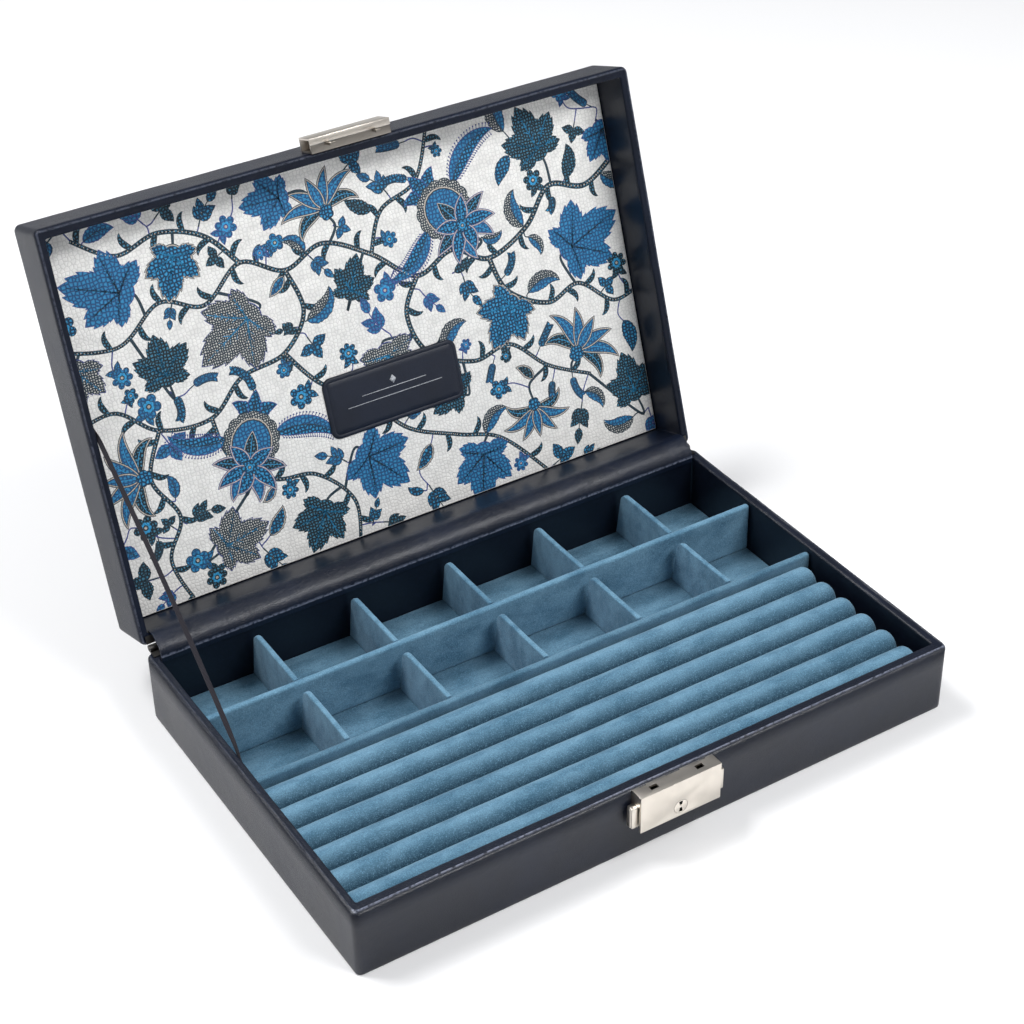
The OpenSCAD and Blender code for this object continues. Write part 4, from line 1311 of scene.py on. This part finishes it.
    def stem(self, path, w0, w1):
        """Main stem: dark line, lighter core and a row of dots."""
        self.stroke(path, w0, w1, "line slate")
        self.stroke(path, w0 * 0.66, w1 * 0.55, "print slate")
        for i in range(0, len(path) - 1):
            (ax, ay), (bx, by) = path[i], path[i + 1]
            w = w0 + (w1 - w0) * i / len(path)
            n = max(1, round(math.hypot(bx - ax, by - ay) / 1.25))
            for k in range(n):
                t = (k + 0.5) / n
                self.dots.append((ax + (bx - ax) * t, ay + (by - ay) * t, w * 0.15,
                                  "line beige"))
            self.anchors.append((ax, ay))
            if i % 2 == 0:
                self.take(ax, ay, w * 0.5 + 0.3)
            if i % 7 == 3:
                side = 1 if i % 14 == 3 else -1
                a = math.atan2(by - ay, bx - ax) + side * 0.75
                keep = self.level
                self.leaf(ax, ay, a, 8.5, 2.2, "print slate", "line slate", bend=side * 1.5,
                          teeth=0, vein=None, line=0.22)
                self.level = keep

    def link(self, x, y, angle, reach, w0=0.62, w1=0.45, ink="line violet"):
        """Bent stalk from the nearest stem to a motif's foot. False if all stems are far."""
        d, (ax, ay) = min((math.hypot(x - a, y - b), (a, b)) for a, b in self.anchors)
        if d > reach:
            return False
        mid = (x - math.cos(angle) * d * 0.45, y - math.sin(angle) * d * 0.45)
        path = smooth_path([(ax, ay), mid, (x, y)], 9)
        keep = self.level
        self.level = 6
        self.stroke(path, w0, w1, ink)
        self.level = keep
        self.anchors += path[6::5]
        return True

    def clipped(self, group):
        """Shapes cut to the panel, as the cloth is trimmed at its edges."""
        def cut(poly, axis, limit, way):
            out = []
            for i, p in enumerate(poly):
                q = poly[(i + 1) % len(poly)]
                inside_p, inside_q = way * p[axis] <= limit, way * q[axis] <= limit
                if inside_p:
                    out.append(p)
                if inside_p != inside_q:
                    t = (way * limit - p[axis]) / (q[axis] - p[axis])
                    out.append((p[0] + (q[0] - p[0]) * t, p[1] + (q[1] - p[1]) * t))
            return out

        def inside(points):
            return all(abs(x) <= self.half_w and abs(y) <= self.half_h for x, y in points)

        for left, right, ink, level in self.shapes[group]:
            if right is None:
                polys = [left]
            elif inside(left + right):
                yield left, right, ink, level
                continue
            else:
                polys = [[left[i], left[i + 1], right[i + 1], right[i]]
                         for i in range(len(left) - 1)]
            for poly in polys:
                if not inside(poly):
                    for axis, limit in ((0, self.half_w), (1, self.half_h)):
                        for way in (1, -1):
                            if poly:
                                poly = cut(poly, axis, limit, way)
                if len(poly) > 2:
                    yield poly, None, ink, level


def smooth_path(points, n=12):
    """Soft curve through the given points."""
    out = []
    p = [points[0]] + list(points) + [points[-1]]
    for i in range(1, len(p) - 2):
        a, b, c, d = (Vector(q) for q in p[i - 1:i + 3])
        for k in range(n):
            t = k / n
            v = 0.5 * (2 * b + (c - a) * t + (2 * a - 5 * b + 4 * c - d) * t * t
                       + (3 * b - a - 3 * c + d) * t ** 3)
            out.append(tuple(v))
    return out + [tuple(points[-1])]


def draw_vines(p):
    """The repeat of the lining: stems, big blooms and leaves first, small sprays between."""
    stems = [
        [(-132, 48), (-112, 36), (-94, 40), (-80, 26), (-60, 18), (-44, 26), (-26, 20), (-8, 34),
         (12, 44), (30, 38), (48, 46), (66, 34), (84, 40), (104, 28), (132, 34)],
        [(-60, 18), (-66, 2), (-84, -8), (-100, -4), (-116, -16), (-132, -12)],
        [(-26, 20), (-18, 6), (-24, -12), (-44, -22), (-62, -20), (-78, -34), (-98, -44)],
        [(48, 46), (60, 60), (78, 66), (96, 62), (112, 72)],
        [(30, 38), (26, 20), (38, 6), (58, 2), (74, -10), (96, -8), (112, 4), (132, 0)],
        [(38, 6), (26, -10), (8, -22), (-8, -40), (-30, -50), (-50, -58), (-70, -80)],
        [(74, -10), (70, -28), (54, -42), (36, -46), (22, -62), (24, -82)],
        [(96, -8), (104, -26), (96, -44), (104, -60), (98, -80)],
        [(-8, 34), (-16, 50), (-34, 58), (-44, 80)],
    ]
    p.begin("stems", 8)
    for k, points in enumerate(stems):
        p.level = 8 + k % 3 * 3
        p.stem(smooth_path(points), 2.5 - 0.1 * min(k, 6), 1.6)
    lobed = {"blue": ("print pale blue", "line violet", None, "line slate"),
             "slate": ("print slate", "line slate", None, "line bright"),
             "mottled": ("print mottled", "line violet", None, "line bright"),
             "banded": ("print blue", "line slate", "line beige", "line bright")}
    blooms = [
        ("pod", -44, 43, 0.9, 32), ("blue", -100, 12, 2.7, 25), ("pod", 60, -24, 1.9, 31),
        ("mottled", 50, 24, 5.7, 25), ("lily", -94, -32, 2.3, 22), ("blue", 98, 48, 0.4, 24),
        ("lily", 8, 57, 1.2, 20), ("mottled", -6, -8, 4.6, 22), ("blue", 12, -46, 3.9, 24),
        ("lily", 108, -24, 0.2, 21), ("banded", -66, -4, 5.4, 20), ("slate", -92, 56, 1.2, 20),
        ("slate", 36, -62, 5.2, 19), ("banded", 74, 56, 5.0, 18), ("slate", 88, 12, 1.5, 18),
        ("blue", -40, -62, 4.9, 21), ("slate", -34, -32, 0.5, 17), ("mottled", 80, -62, 2.9, 19),
        ("slate", -118, -58, 1.4, 18), ("lily", -68, -50, 4.7, 18), ("blue", 26, 66, 0.0, 17),
        ("slate", 4, 22, 2.0, 15), ("blue", -124, 56, 4.4, 18), ("mottled", 122, 24, 5.0, 18),
    ]
    for kind, x, y, a, size in blooms:
        p.begin("blooms", 20)
        c, d = math.cos(a), math.sin(a)
        if kind == "pod":
            p.link(x - c * size * 0.6, y - d * size * 0.6, a, 40, 1.6, 1.1, "line slate")
            p.plume(x + math.cos(a + 1.25) * size * 0.34, y + math.sin(a + 1.25) * size * 0.34,
                    a + 1.1, size * 0.95, size * 0.24, 1.2)
            p.plume(x + math.cos(a - 1.5) * size * 0.34, y + math.sin(a - 1.5) * size * 0.34,
                    a - 2.0, size * 0.85, size * 0.22, 1.1)
            p.ear(x + c * size * 0.55, y + d * size * 0.55, a - 0.2, size * 0.55, -1.5)
            p.seed_pod(x, y, a, size)
            p.take(x, y, size * 0.66)
            p.take(x + math.cos(a + 1.4) * size * 0.85, y + math.sin(a + 1.4) * size * 0.85, 7)
            p.take(x + math.cos(a - 2.1) * size * 0.75, y + math.sin(a - 2.1) * size * 0.75, 7)
        elif kind == "lily":
            p.link(x - c * size * 0.2, y - d * size * 0.2, a, 40, 1.3, 1.0, "line slate")
            p.lily(x, y, a, size)
            p.take(x + c * size * 0.35, y + d * size * 0.35, size * 0.66)
        else:
            p.link(x, y, a, 40, 1.3, 0.9, "line slate")
            p.lobed_leaf(x, y, a, size, *lobed[kind])
            p.take(x + c * size * 0.28, y + d * size * 0.28, size * 0.64)
    rng = p.rng
    plan = (["leaf", "sprig", "flower", "trefoil", "ear", "sprig", "flower", "half"],
            {"flower": 4.6, "leaf": 6.4, "sprig": 7.4, "trefoil": 6.0, "ear": 5.6, "half": 8.0})
    placed = 0
    for attempt in range(12000):
        shrink = 1.08 if attempt < 5000 else 0.85 if attempt < 8500 else 0.66
        kind = plan[0][placed % len(plan[0])]
        r = plan[1][kind] * rng.uniform(0.9, 1.12) * shrink
        x, y = rng.uniform(-p.half_w, p.half_w), rng.uniform(-p.half_h, p.half_h)
        if not p.free(x, y, r * 0.9):
            continue
        gap, (ax, ay) = min((math.hypot(x - a, y - b), (a, b)) for a, b in p.anchors)
        if gap > r + 18:
            continue
        a = math.atan2(y - ay, x - ax) + rng.uniform(-0.7, 0.7)
        c, d = math.cos(a), math.sin(a)
        p.begin("sprays", 14)
        ink, edge = rng.choice((("print pale blue", "line violet"), ("print blue", "line slate"),
                                ("print pale blue", "line slate"), ("print slate", "line slate")))
        foot = (x - c * r, y - d * r)
        if kind == "flower":
            foot = (x, y)
            p.link(x, y, a, 60, 0.6, 0.5, "line violet")
            for k in (-0.9, 0.9):
                p.leaf(x - c * r * 0.6, y - d * r * 0.6, a + math.pi + k, r * 0.9, r * 0.45,
                       ink, edge, teeth=0, vein=edge, side_veins=False)
            p.flower(x, y, r * 0.92, ink, edge, rng.choice((5, 6, 7)), a)
        else:
            p.link(*foot, a, 60, 0.6, 0.5, "line violet" if kind != "half" else "line slate")
        if kind == "leaf":
            p.leaf(*foot, a, r * 2.0, r * 0.85, ink, edge, rng.uniform(-1.0, 1.0), 7,
                   rng.choice((None, None, "line beige")))
        elif kind == "half":
            p.leaf(*foot, a, r * 2.1, r * 0.85, "print mottled", "line slate",
                   rng.choice((-1.5, 1.5)), 9, None, half="print pale blue")
        elif kind == "sprig":
            p.sprig(*foot, a, r * 1.35, rng.uniform(-0.7, 0.7), ink, edge)
        elif kind == "trefoil":
            mx, my = x - c * r * 0.3, y - d * r * 0.3
            p.stroke([foot, (mx, my)], 0.6, 0.5, edge)
            for k in (-1, 0, 1):
                p.leaf(mx, my, a + k * 1.45, r * 1.1, r * 0.66, ink, edge, bend=k * 0.3, teeth=5)
        elif kind == "ear":
            p.ear(*foot, a, r * 2.0, rng.uniform(-1.2, 1.2), ink)
        p.take(x, y, r)
        placed += 1


def dot_growth(material):
    """A flat dot at every given point."""
    g = Growth("dots of " + material, Depth=0.00006, Scale=1.0)
    disc = g.node("MeshCylinder", {}, {
        "Vertices": 8, "Radius": 1.0, "Depth": g.given("Depth")})
    size = g.node("InputNamedAttribute", {"data_type": "FLOAT"}, {"Name": "radius"})
    flat = g.node("ShaderNodeCombineXYZ", {}, {
        0: size * g.given("Scale"), 1: size * g.given("Scale"), 2: 1.0})
    dots = g.node("InstanceOnPoints", {}, {
        "Points": g.given("Geometry"), "Instance": disc, "Scale": flat})
    g.close(dots, material)
    return g


def build_lid_lining(s):
    """Printed panel in the lid: crackled ground with the inks laid on it."""
    face_z = s.lid_z + s.recess
    gap = 0.35
    half_w, half_h = s.in_x - gap, s.lid_y - gap
    points, faces = block(-half_w, half_w, -half_h, half_h, face_z, face_z + 1.6, 0.5, 6.0)
    ground = piece("lid_print_ground", points, faces, ["print ground", "dark lining"], None,
                   ["lid_lining_panel"])
    # the panel's sides and back take the dark lining: painted shade in the gap round the print
    for f in ground.data.polygons:
        f.material_index = 0 if f.center.z < (face_z + 0.3) * MM else 1
    panel_map(ground)
    ground.data.transform(opened(s))
    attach(ground, "lid")
    p = Print(half_w - 0.4, half_h - 0.4, 41)
    draw_vines(p)

    def height(level):
        return face_z - 0.010 - 0.0014 * level

    for group in p.shapes:
        points, faces, inks = [], [], []
        for left, right, ink, level in p.clipped(group):
            outline = left if right is None else left + right[::-1]
            n, k, z = len(points), len(outline), height(level)
            # drawn from inside the lid, so the panel's face looks down
            points += [(-x, -y, z) for x, y in outline]
            points += [(-x, -y, face_z + 0.05) for x, y in outline]
            if right is None:
                tops = [tuple(range(k))]
            else:
                tops = [(i, i + 1, k - 2 - i, k - 1 - i) for i in range(len(left) - 1)]
            faces += [tuple(n + i for i in f) for f in tops]
            faces += [tuple(n + k + i for i in reversed(f)) for f in tops]
            faces += [(n + (i + 1) % k, n + i, n + k + i, n + k + (i + 1) % k) for i in range(k)]
            inks += [ink] * (2 * len(tops) + k)
        drawing = piece("lid_print_" + group, points, faces, Print.inks, None, (),
                        smooth=False)
        drawing.data.polygons.foreach_set("material_index", inks)
        outward(drawing)
        panel_map(drawing)
        drawing.data.transform(opened(s))
        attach(drawing, "lid")
    for ink, level in (("line beige", 34), ("line violet", 50)):
        spots = [(x, y, r) for x, y, r, colour_of in p.dots if colour_of == ink
                 and abs(x) < p.half_w - r and abs(y) < p.half_h - r]
        mesh = bpy.data.meshes.new(ink)
        mesh.from_pydata([Vector((-x, -y, height(level))) * MM for x, y, r in spots], [], [])
        radius = mesh.attributes.new("radius", "FLOAT", "POINT")
        radius.data.foreach_set("value", [r * MM for x, y, r in spots])
        dots = grown("lid_print_dots_" + ink.split()[1], dot_growth(ink), mesh)
        panel_map(dots)
        dots.data.transform(opened(s))
        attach(dots, "lid")


def panel_map(obj):
    """Map of the panel in millimetres, so the crackle runs through ground and inks alike."""
    layer = obj.data.uv_layers.new(name="panel")
    for loop in obj.data.loops:
        co = obj.data.vertices[loop.vertex_index].co / MM
        layer.data[loop.index].uv = (co.x, co.y)


def build_label(s):
    lo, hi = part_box("label_patch")
    w, h, r = 62.4, 25.8, 4.0
    cx, cy = 5.4, 22.3
    z = s.lid_z + s.recess
    rect = (cx - w / 2, cx + w / 2, cy - h / 2, cy + h / 2)

    def at(d, dz):
        x0, x1, y0, y1 = rect
        return ring((x0 + d, x1 - d, y0 + d, y1 - d), max(0.5, r - d), z - dz, 40, 16, 8)
    rings = [at(0.0, -0.02), at(0.0, 0.3), at(0.12, 0.62), at(0.4, 0.86), at(0.9, 0.95),
             at(1.6, 0.97), at(1.72, 0.86), at(1.92, 0.86), at(2.04, 0.97), at(4.0, 1.0),
             at(9.0, 1.02)]
    points, faces = loft(rings, cap_start=True, cap_end=True)
    points = uneven(points, 0.05, 0.12, 3.3)
    obj = piece("label_patch_cover", points, faces, "label leather", None, ["label_patch"],
                opened(s))
    outward(obj)
    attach(obj, "lid")
    rules = []
    for y, half in ((-1.6, 15.0), (1.6, 22.0)):
        x0, x1 = cx - half, cx + half
        rules.append([(x0, cy + y - 0.14), (x1, cy + y - 0.14), (x1, cy + y + 0.14),
                      (x0, cy + y + 0.14)])
    rules.append([(cx - 1.5, cy - 4.6), (cx, cy - 6.4), (cx + 1.5, cy - 4.6), (cx, cy - 2.8)])
    points, faces = [], []
    for poly in rules:
        n = len(points)
        points += [(x, y, z - 1.07) for x, y in poly] + [(x, y, z - 0.9) for x, y in poly]
        faces += [(n, n + 1, n + 2, n + 3), (n + 7, n + 6, n + 5, n + 4)]
        faces += [(n + i, n + 4 + i, n + 4 + (i + 1) % 4, n + (i + 1) % 4) for i in range(4)]
    rule = piece("label_rules", points, faces, "pale rule", None, ())
    panel_map(rule)
    rule.data.transform(opened(s))
    outward(rule)
    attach(rule, "lid")


# ---------------------------------------------------------------- hinge, flap and stay


def build_flap(s):
    """Grained leather strip over the hinge, folded down inside base and lid."""
    turn = opened(s)

    def lid(y, z):
        v = turn @ (Vector((0, y, z)) * MM)
        return Vector((v.y, v.z)) / MM
    h = 0.40
    base_edge, lid_edge = Vector((s.in_back - h, s.base_height + 0.35)), lid(
        s.lid_y - h, s.lid_z - 0.35)
    chord = lid_edge - base_edge
    out = Vector((-chord.y, chord.x)).normalized()
    path = [Vector((s.in_back - h, s.base_height - 2.6 + 0.5 * i)) for i in range(6)]
    n = 22
    for i in range(n + 1):
        t = i / n
        bow = 1.75 * (4 * t * (1 - t)) ** 0.62
        path.append(base_edge + chord * t + out * bow)
    path += [lid(s.lid_y - h, s.lid_z + 0.1 + 0.5 * i) for i in range(1, 6)]
    for _ in range(2):
        path = [path[0]] + [(a + b * 2 + c) / 4 for a, b, c in zip(path, path[1:], path[2:])] + [
            path[-1]]
    section = []
    for k in (1, -1):
        side = []
        for i, q in enumerate(path):
            t = (path[min(i + 1, len(path) - 1)] - path[max(i - 1, 0)]).normalized()
            side.append(q + Vector((-t.y, t.x)) * k * h)
        section += side if k == 1 else side[::-1]
    half = s.in_x - 0.8
    slices = 380
    rings = [[(-half + 2 * half * i / slices, q.x, q.y) for q in section]
             for i in range(slices + 1)]
    points, faces = loft(rings, cap_start=True, cap_end=True)

    def loose(p):
        return min(abs(p.z - s.base_height), 4) / 4 if p.z > s.base_height else 0.2
    points = uneven(points, 0.18, 0.07, 1.7, loose)
    points = uneven(points, 0.05, 0.7, 4.9, loose)
    obj = piece("hinge_flap_strip", points, faces, "flap leather", None, ["hinge_flap"])
    low_edge = s.base_height

    # wear and painted highlight along the flap's lower edge
    def worn_and_lit(p):
        return max(0.0, 1 - abs(p.z - low_edge - 0.1) / 0.55) * (1 if p.y < s.in_back + 0.5 else 0)
    marked(obj, "crest", worn_and_lit)
    creased(outward(obj), 60)
    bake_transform(obj)
    run = sum((b - a).length for a, b in zip(path, path[1:]))
    2 * half * MM


def build_stay(s):
    """Narrow tape that stops the lid, with the half twist such tapes take."""
    lo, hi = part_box("stay_ribbon")
    lo, hi = lo / MM, hi / MM
    a = Vector((lo.x + 0.3, 7.0, s.base_height - 3.0))
    end = opened(s) @ (Vector((0, -6.5, s.lid_z + 4)) * MM) / MM
    b = Vector((lo.x + 0.3, end.y, end.z))
    run = b - a
    along = run.normalized()
    across = Vector((0, -along.z, along.y))
    wall = Vector((1, 0, 0))
    n, wide, thick = 120, 1.9, 0.32
    rings = []
    for i in range(n + 1):
        t = i / n
        # flat on the wall at both ends, turned between, edge-on near the foot
        twist = 0.95 * min(1, t / 0.12) ** 1.5 * min(1, (1 - t) / 0.06) ** 1.5
        twist += 0.60 * math.exp(-((t - 0.24) / 0.13) ** 2)
        lift = 0.5 + 0.8 * math.sin(math.pi * t)
        u = across * math.cos(twist) + wall * math.sin(twist)
        v = -across * math.sin(twist) + wall * math.cos(twist)
        c = a + run * t + wall * (lift * min(1, t / 0.06, (1 - t) / 0.04) - 0.3)
        half = wide / 2
        rings.append([tuple(c + u * p * half + v * q * thick / 2) for p, q in (
            (-1, -0.4), (-0.93, -1), (-0.5, -1), (0, -1), (0.5, -1), (0.93, -1), (1, -0.4),
            (1, 0.4), (0.93, 1), (0.5, 1), (0, 1), (-0.5, 1), (-0.93, 1), (-1, 0.4))])
    points, faces = loft(rings, cap_start=True, cap_end=True)
    obj = piece("stay_tape", points, faces, "tape", None, ["stay_ribbon"])
    layer = obj.data.uv_layers.new(name="tape")
    for loop in obj.data.loops:
        co = obj.data.vertices[loop.vertex_index].co / MM
        layer.data[loop.index].uv = ((co - a).dot(along), (co - a).dot(across))
    creased(outward(obj), 50)
    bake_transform(obj)
    line = [sum((Vector(p) for p in r), Vector()) / len(r) * MM for r in rings]
    tuple(line[0])
    sum((q - p).length for p, q in zip(line, line[1:]))
    [tuple(p) for p in line]


def build_hinge(s):
    """Leaves, pin and nails in plated steel."""
    for node in ("hinge_leaf_base", "hinge_leaf_lid", "hinge_pin"):
        repaint(node, "dark steel")
    for node in ("hinge_nails_base", "hinge_nails_lid"):
        repaint(node, "bright nickel")


def repaint(node, material):
    """Gives a CAD piece its finish."""
    obj = frame["nodes"][node]
    obj.data.materials.clear()
    obj.data.materials.append(finish(material))


# ---------------------------------------------------------------- lock and striker


def build_spring(side, way):
    """Coil spring behind a push button."""
    node = "lock_spring_" + side
    lo, hi = (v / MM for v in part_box(node))
    wire, coil, turns, steps, travel = 0.15, 0.75, 6, 22, 1.4
    y, z = (lo.y + hi.y) / 2, (lo.z + hi.z) / 2
    post, nose = (lo.x, hi.x) if way > 0 else (hi.x, lo.x)
    run = abs(nose - post) - 2 * wire
    rings = []
    for i in range(turns * steps + 1):
        t = i / (turns * steps)
        # the end turns lie flat
        rise = min(1.0, max(0.0, (t - 0.10) / 0.80))
        c = Vector((post + way * (wire + run * rise), y, z))
        a = 2 * math.pi * turns * t
        out = Vector((0, math.cos(a), math.sin(a)))
        rings.append([tuple(c + out * (coil + wire * math.cos(b))
                            + Vector((way * wire * math.sin(b), 0, 0)))
                      for b in (2 * math.pi * k / 8 for k in range(8))])
    points, faces = loft(rings, cap_start=True, cap_end=True)
    obj = piece("catch_spring_" + side, points, faces, "bright nickel", "base", [node])
    outward(obj)
    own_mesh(obj)


def build_lock():
    build_spring("left", -1)
    build_spring("right", 1)
    for node, name, look, width in (
            ("lock_case", "lock_housing", "satin nickel", 0.22),
            ("lock_back_plate", "lock_plate", "dark steel", 0.12),
            ("lock_screws", "lock_screw_pair", "dark steel", 0.08),
            ("lock_button_left", "push_button_left", "satin nickel", 0.40),
            ("lock_button_right", "push_button_right", "satin nickel", 0.40),
            ("lock_cylinder", "key_barrel", "bright nickel", 0.26),
            ("striker_channel", "striker_cover", "satin nickel", 0.22),
            ("striker_hook_plate", "striker_hooks", "shaded nickel", 0.10),
            ("striker_screws", "striker_screw_pair", "dark steel", 0.08)):
        obj = eased(node, name, look, width)
        if node == "lock_cylinder":
            # near-black finish on the keyway faces and the outer ring of the barrel: painted shade in
            # the slot and in the gap round the barrel
            obj.data.materials.append(finish("keyway"))
            front = min(v.co.y for v in obj.data.vertices)
            for f in obj.data.polygons:
                wall = abs(f.normal.y) < 0.9 and f.center.xz.length
                middle = Vector((0, 0, (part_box(node)[0].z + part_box(node)[1].z) / 2))
                reach = (f.center - middle).xz.length
                if (reach > 0.00246 and f.normal.y > -0.97) or (reach < 0.0026 and (
                        f.center.y > front + 0.0004 or (wall and f.normal.y > -0.3))):
                    f.material_index = 1


# ---------------------------------------------------------------- what stays out of sight


def dress_hidden():
    for node in frame["nodes"]:
        if "board" in node:
            # the lid boards get a black finish, painted shade in the gap round the printed panel; the
            # base boards stay fibreboard
            repaint(node, "black board" if node.startswith("lid_") else "fibreboard")
    repaint("ring_bed", "dark lining")


# ---------------------------------------------------------------- stage


def build_stage():
    """Pale floor, soft studio light and the camera."""
    scene = bpy.context.scene
    floor = bpy.data.meshes.new("floor")
    r = 4.0
    floor.from_pydata([(-r, -r, 0), (r, -r, 0), (r, r, 0), (-r, r, 0)], [], [(0, 1, 2, 3)])
    ground = bpy.data.objects.new("floor", floor)
    scene.collection.objects.link(ground)
    f = Finish("pale floor", Roughness=0.7, Specular_IOR_Level=0.1, Emission_Strength=0.045)
    f.set(Base_Color=(0.93, 0.93, 0.935), Emission_Color=(1.0, 1.0, 1.0))
    floor.materials.append(f.material)

    world = bpy.data.worlds.new("studio")
    scene.world = world
    world.use_nodes = True
    w = Nodes(world.node_tree)
    world.node_tree.nodes.clear()
    split = world.node_tree.nodes.new("ShaderNodeSeparateXYZ")
    way = w.node("TexCoord", out=0)
    world.node_tree.links.new(way.socket, split.inputs[0])
    height = Value(w, split.outputs[2])
    sky = w.node("ValToRGB", {"stops": [
        (0.0, (0.80, 0.80, 0.80)), (1.0, (0.30, 0.31, 0.33)), (0.10, (0.62, 0.62, 0.63)),
        (0.34, (0.15, 0.155, 0.165))]}, {0: height})
    back = w.node("Background", {}, {"Color": sky, "Strength": 0.92})
    end = world.node_tree.nodes.new("ShaderNodeOutputWorld")
    world.node_tree.links.new(back.socket, end.inputs[0])

    def softbox(name, place, aim, width, height, power):
        lamp = bpy.data.lights.new(name, "AREA")
        lamp.shape, lamp.size, lamp.size_y, lamp.energy = "RECTANGLE", width, height, power
        obj = bpy.data.objects.new(name, lamp)
        scene.collection.objects.link(obj)
        obj.location = place
        obj.rotation_euler = (Vector(aim) - Vector(place)).to_track_quat("-Z", "Y").to_euler()
        return obj
    softbox("key", (-0.50, 0.55, 1.35), (0, 0, 0.03), 0.6, 0.6, 18)
    softbox("front", (0.50, -0.72, 1.18), (0, 0, 0.03), 0.80, 0.28, 14)
    softbox("side", (-1.3, -1.1, 1.0), (0, 0, 0.05), 0.9, 0.9, 2)

    camera = bpy.data.objects.new("camera", bpy.data.cameras.new("camera"))
    scene.collection.objects.link(camera)
    right = Vector((0.8452280771, -0.5341867516, -0.0152974548))
    up = Vector((0.3172274704, 0.4784922298, 0.8187868575))
    back_way = Vector((-0.4300653784, -0.6969144140, 0.5738937792))
    rows = [(right[i], up[i], back_way[i], (-0.356801448, -0.555076123, 0.557366734)[i])
            for i in range(3)]
    camera.matrix_world = Matrix((*rows, (0, 0, 0, 1)))
    camera.data.sensor_width = 36
    camera.data.lens = 36 * 2198.899711 / 1024
    camera.data.clip_start, camera.data.clip_end = 0.01, 20
    scene.camera = camera
    scene.view_settings.view_transform = "Standard"


# ---------------------------------------------------------------- operators and panel


class MakeStage(bpy.types.Operator):
    """Floor, light and camera"""
    bl_idname = "jewelry_case.stage"
    bl_label = "Stage"

    def execute(self, context):
        build_stage()
        return {"FINISHED"}


class MakeStay(bpy.types.Operator):
    """Tape that stops the lid"""
    bl_idname = "jewelry_case.stay"
    bl_label = "Stay tape"

    def execute(self, context):
        build_stay(sizes())
        return {"FINISHED"}


class MakeShells(bpy.types.Operator):
    """Leather covers of base and lid with their linings"""
    bl_idname = "jewelry_case.shells"
    bl_label = "Leather shells"

    def execute(self, context):
        s = sizes()
        build_base_shell(s)
        build_lid_shell(s)
        build_linings(s)
        dress_hidden()
        return {"FINISHED"}


class MakeTopPanel(bpy.types.Operator):
    """Padded panel on the lid"""
    bl_idname = "jewelry_case.top_panel"
    bl_label = "Padded top panel"

    def execute(self, context):
        build_top_panel(sizes())
        build_soft_backing(sizes())
        return {"FINISHED"}


class MakeFittings(bpy.types.Operator):
    """Velvet floor, dividers and ring rolls"""
    bl_idname = "jewelry_case.fittings"
    bl_label = "Velvet fittings"

    def execute(self, context):
        build_fittings(sizes())
        return {"FINISHED"}


class MakeLidLining(bpy.types.Operator):
    """Printed lining of the lid and its label"""
    bl_idname = "jewelry_case.lid_lining"
    bl_label = "Printed lining"

    def execute(self, context):
        s = sizes()
        build_lid_lining(s)
        build_label(s)
        return {"FINISHED"}


class MakeHinge(bpy.types.Operator):
    """Hinge with the leather flap over it"""
    bl_idname = "jewelry_case.hinge"
    bl_label = "Hinge and flap"

    def execute(self, context):
        s = sizes()
        build_hinge(s)
        build_flap(s)
        return {"FINISHED"}


class MakeLock(bpy.types.Operator):
    """Lock, push buttons and striker"""
    bl_idname = "jewelry_case.lock"
    bl_label = "Lock and striker"

    def execute(self, context):
        build_lock()
        return {"FINISHED"}


OPERATORS = (MakeStage, MakeStay, MakeShells, MakeTopPanel, MakeFittings, MakeLidLining,
             MakeHinge, MakeLock)


class CasePanel(bpy.types.Panel):
    """Steps of the jewelry case, with its settings"""
    bl_idname = "VIEW3D_PT_jewelry_case"
    bl_label = "Jewelry Case"
    bl_space_type = "VIEW_3D"
    bl_region_type = "UI"
    bl_category = "Jewelry Case"

    def draw(self, context):
        for operator in OPERATORS:
            self.layout.operator(operator.bl_idname)
        for group in (context.scene.jewelry_case_sizes, context.scene.jewelry_case_colours):
            box = self.layout.box()
            for key in type(group).__annotations__:
                box.prop(group, key)


CLASSES = (CaseSizes, CaseColours, *OPERATORS, CasePanel)


def register():
    for c in CLASSES:
        bpy.utils.register_class(c)
    bpy.types.Scene.jewelry_case_sizes = bpy.props.PointerProperty(type=CaseSizes)
    bpy.types.Scene.jewelry_case_colours = bpy.props.PointerProperty(type=CaseColours)


def unregister():
    del bpy.types.Scene.jewelry_case_sizes, bpy.types.Scene.jewelry_case_colours
    for c in reversed(CLASSES):
        bpy.utils.unregister_class(c)


def main():
    register()
    for operator in OPERATORS:
        group, name = operator.bl_idname.split(".")
        getattr(getattr(bpy.ops, group), name)()


if __name__ == "__main__":
    main()
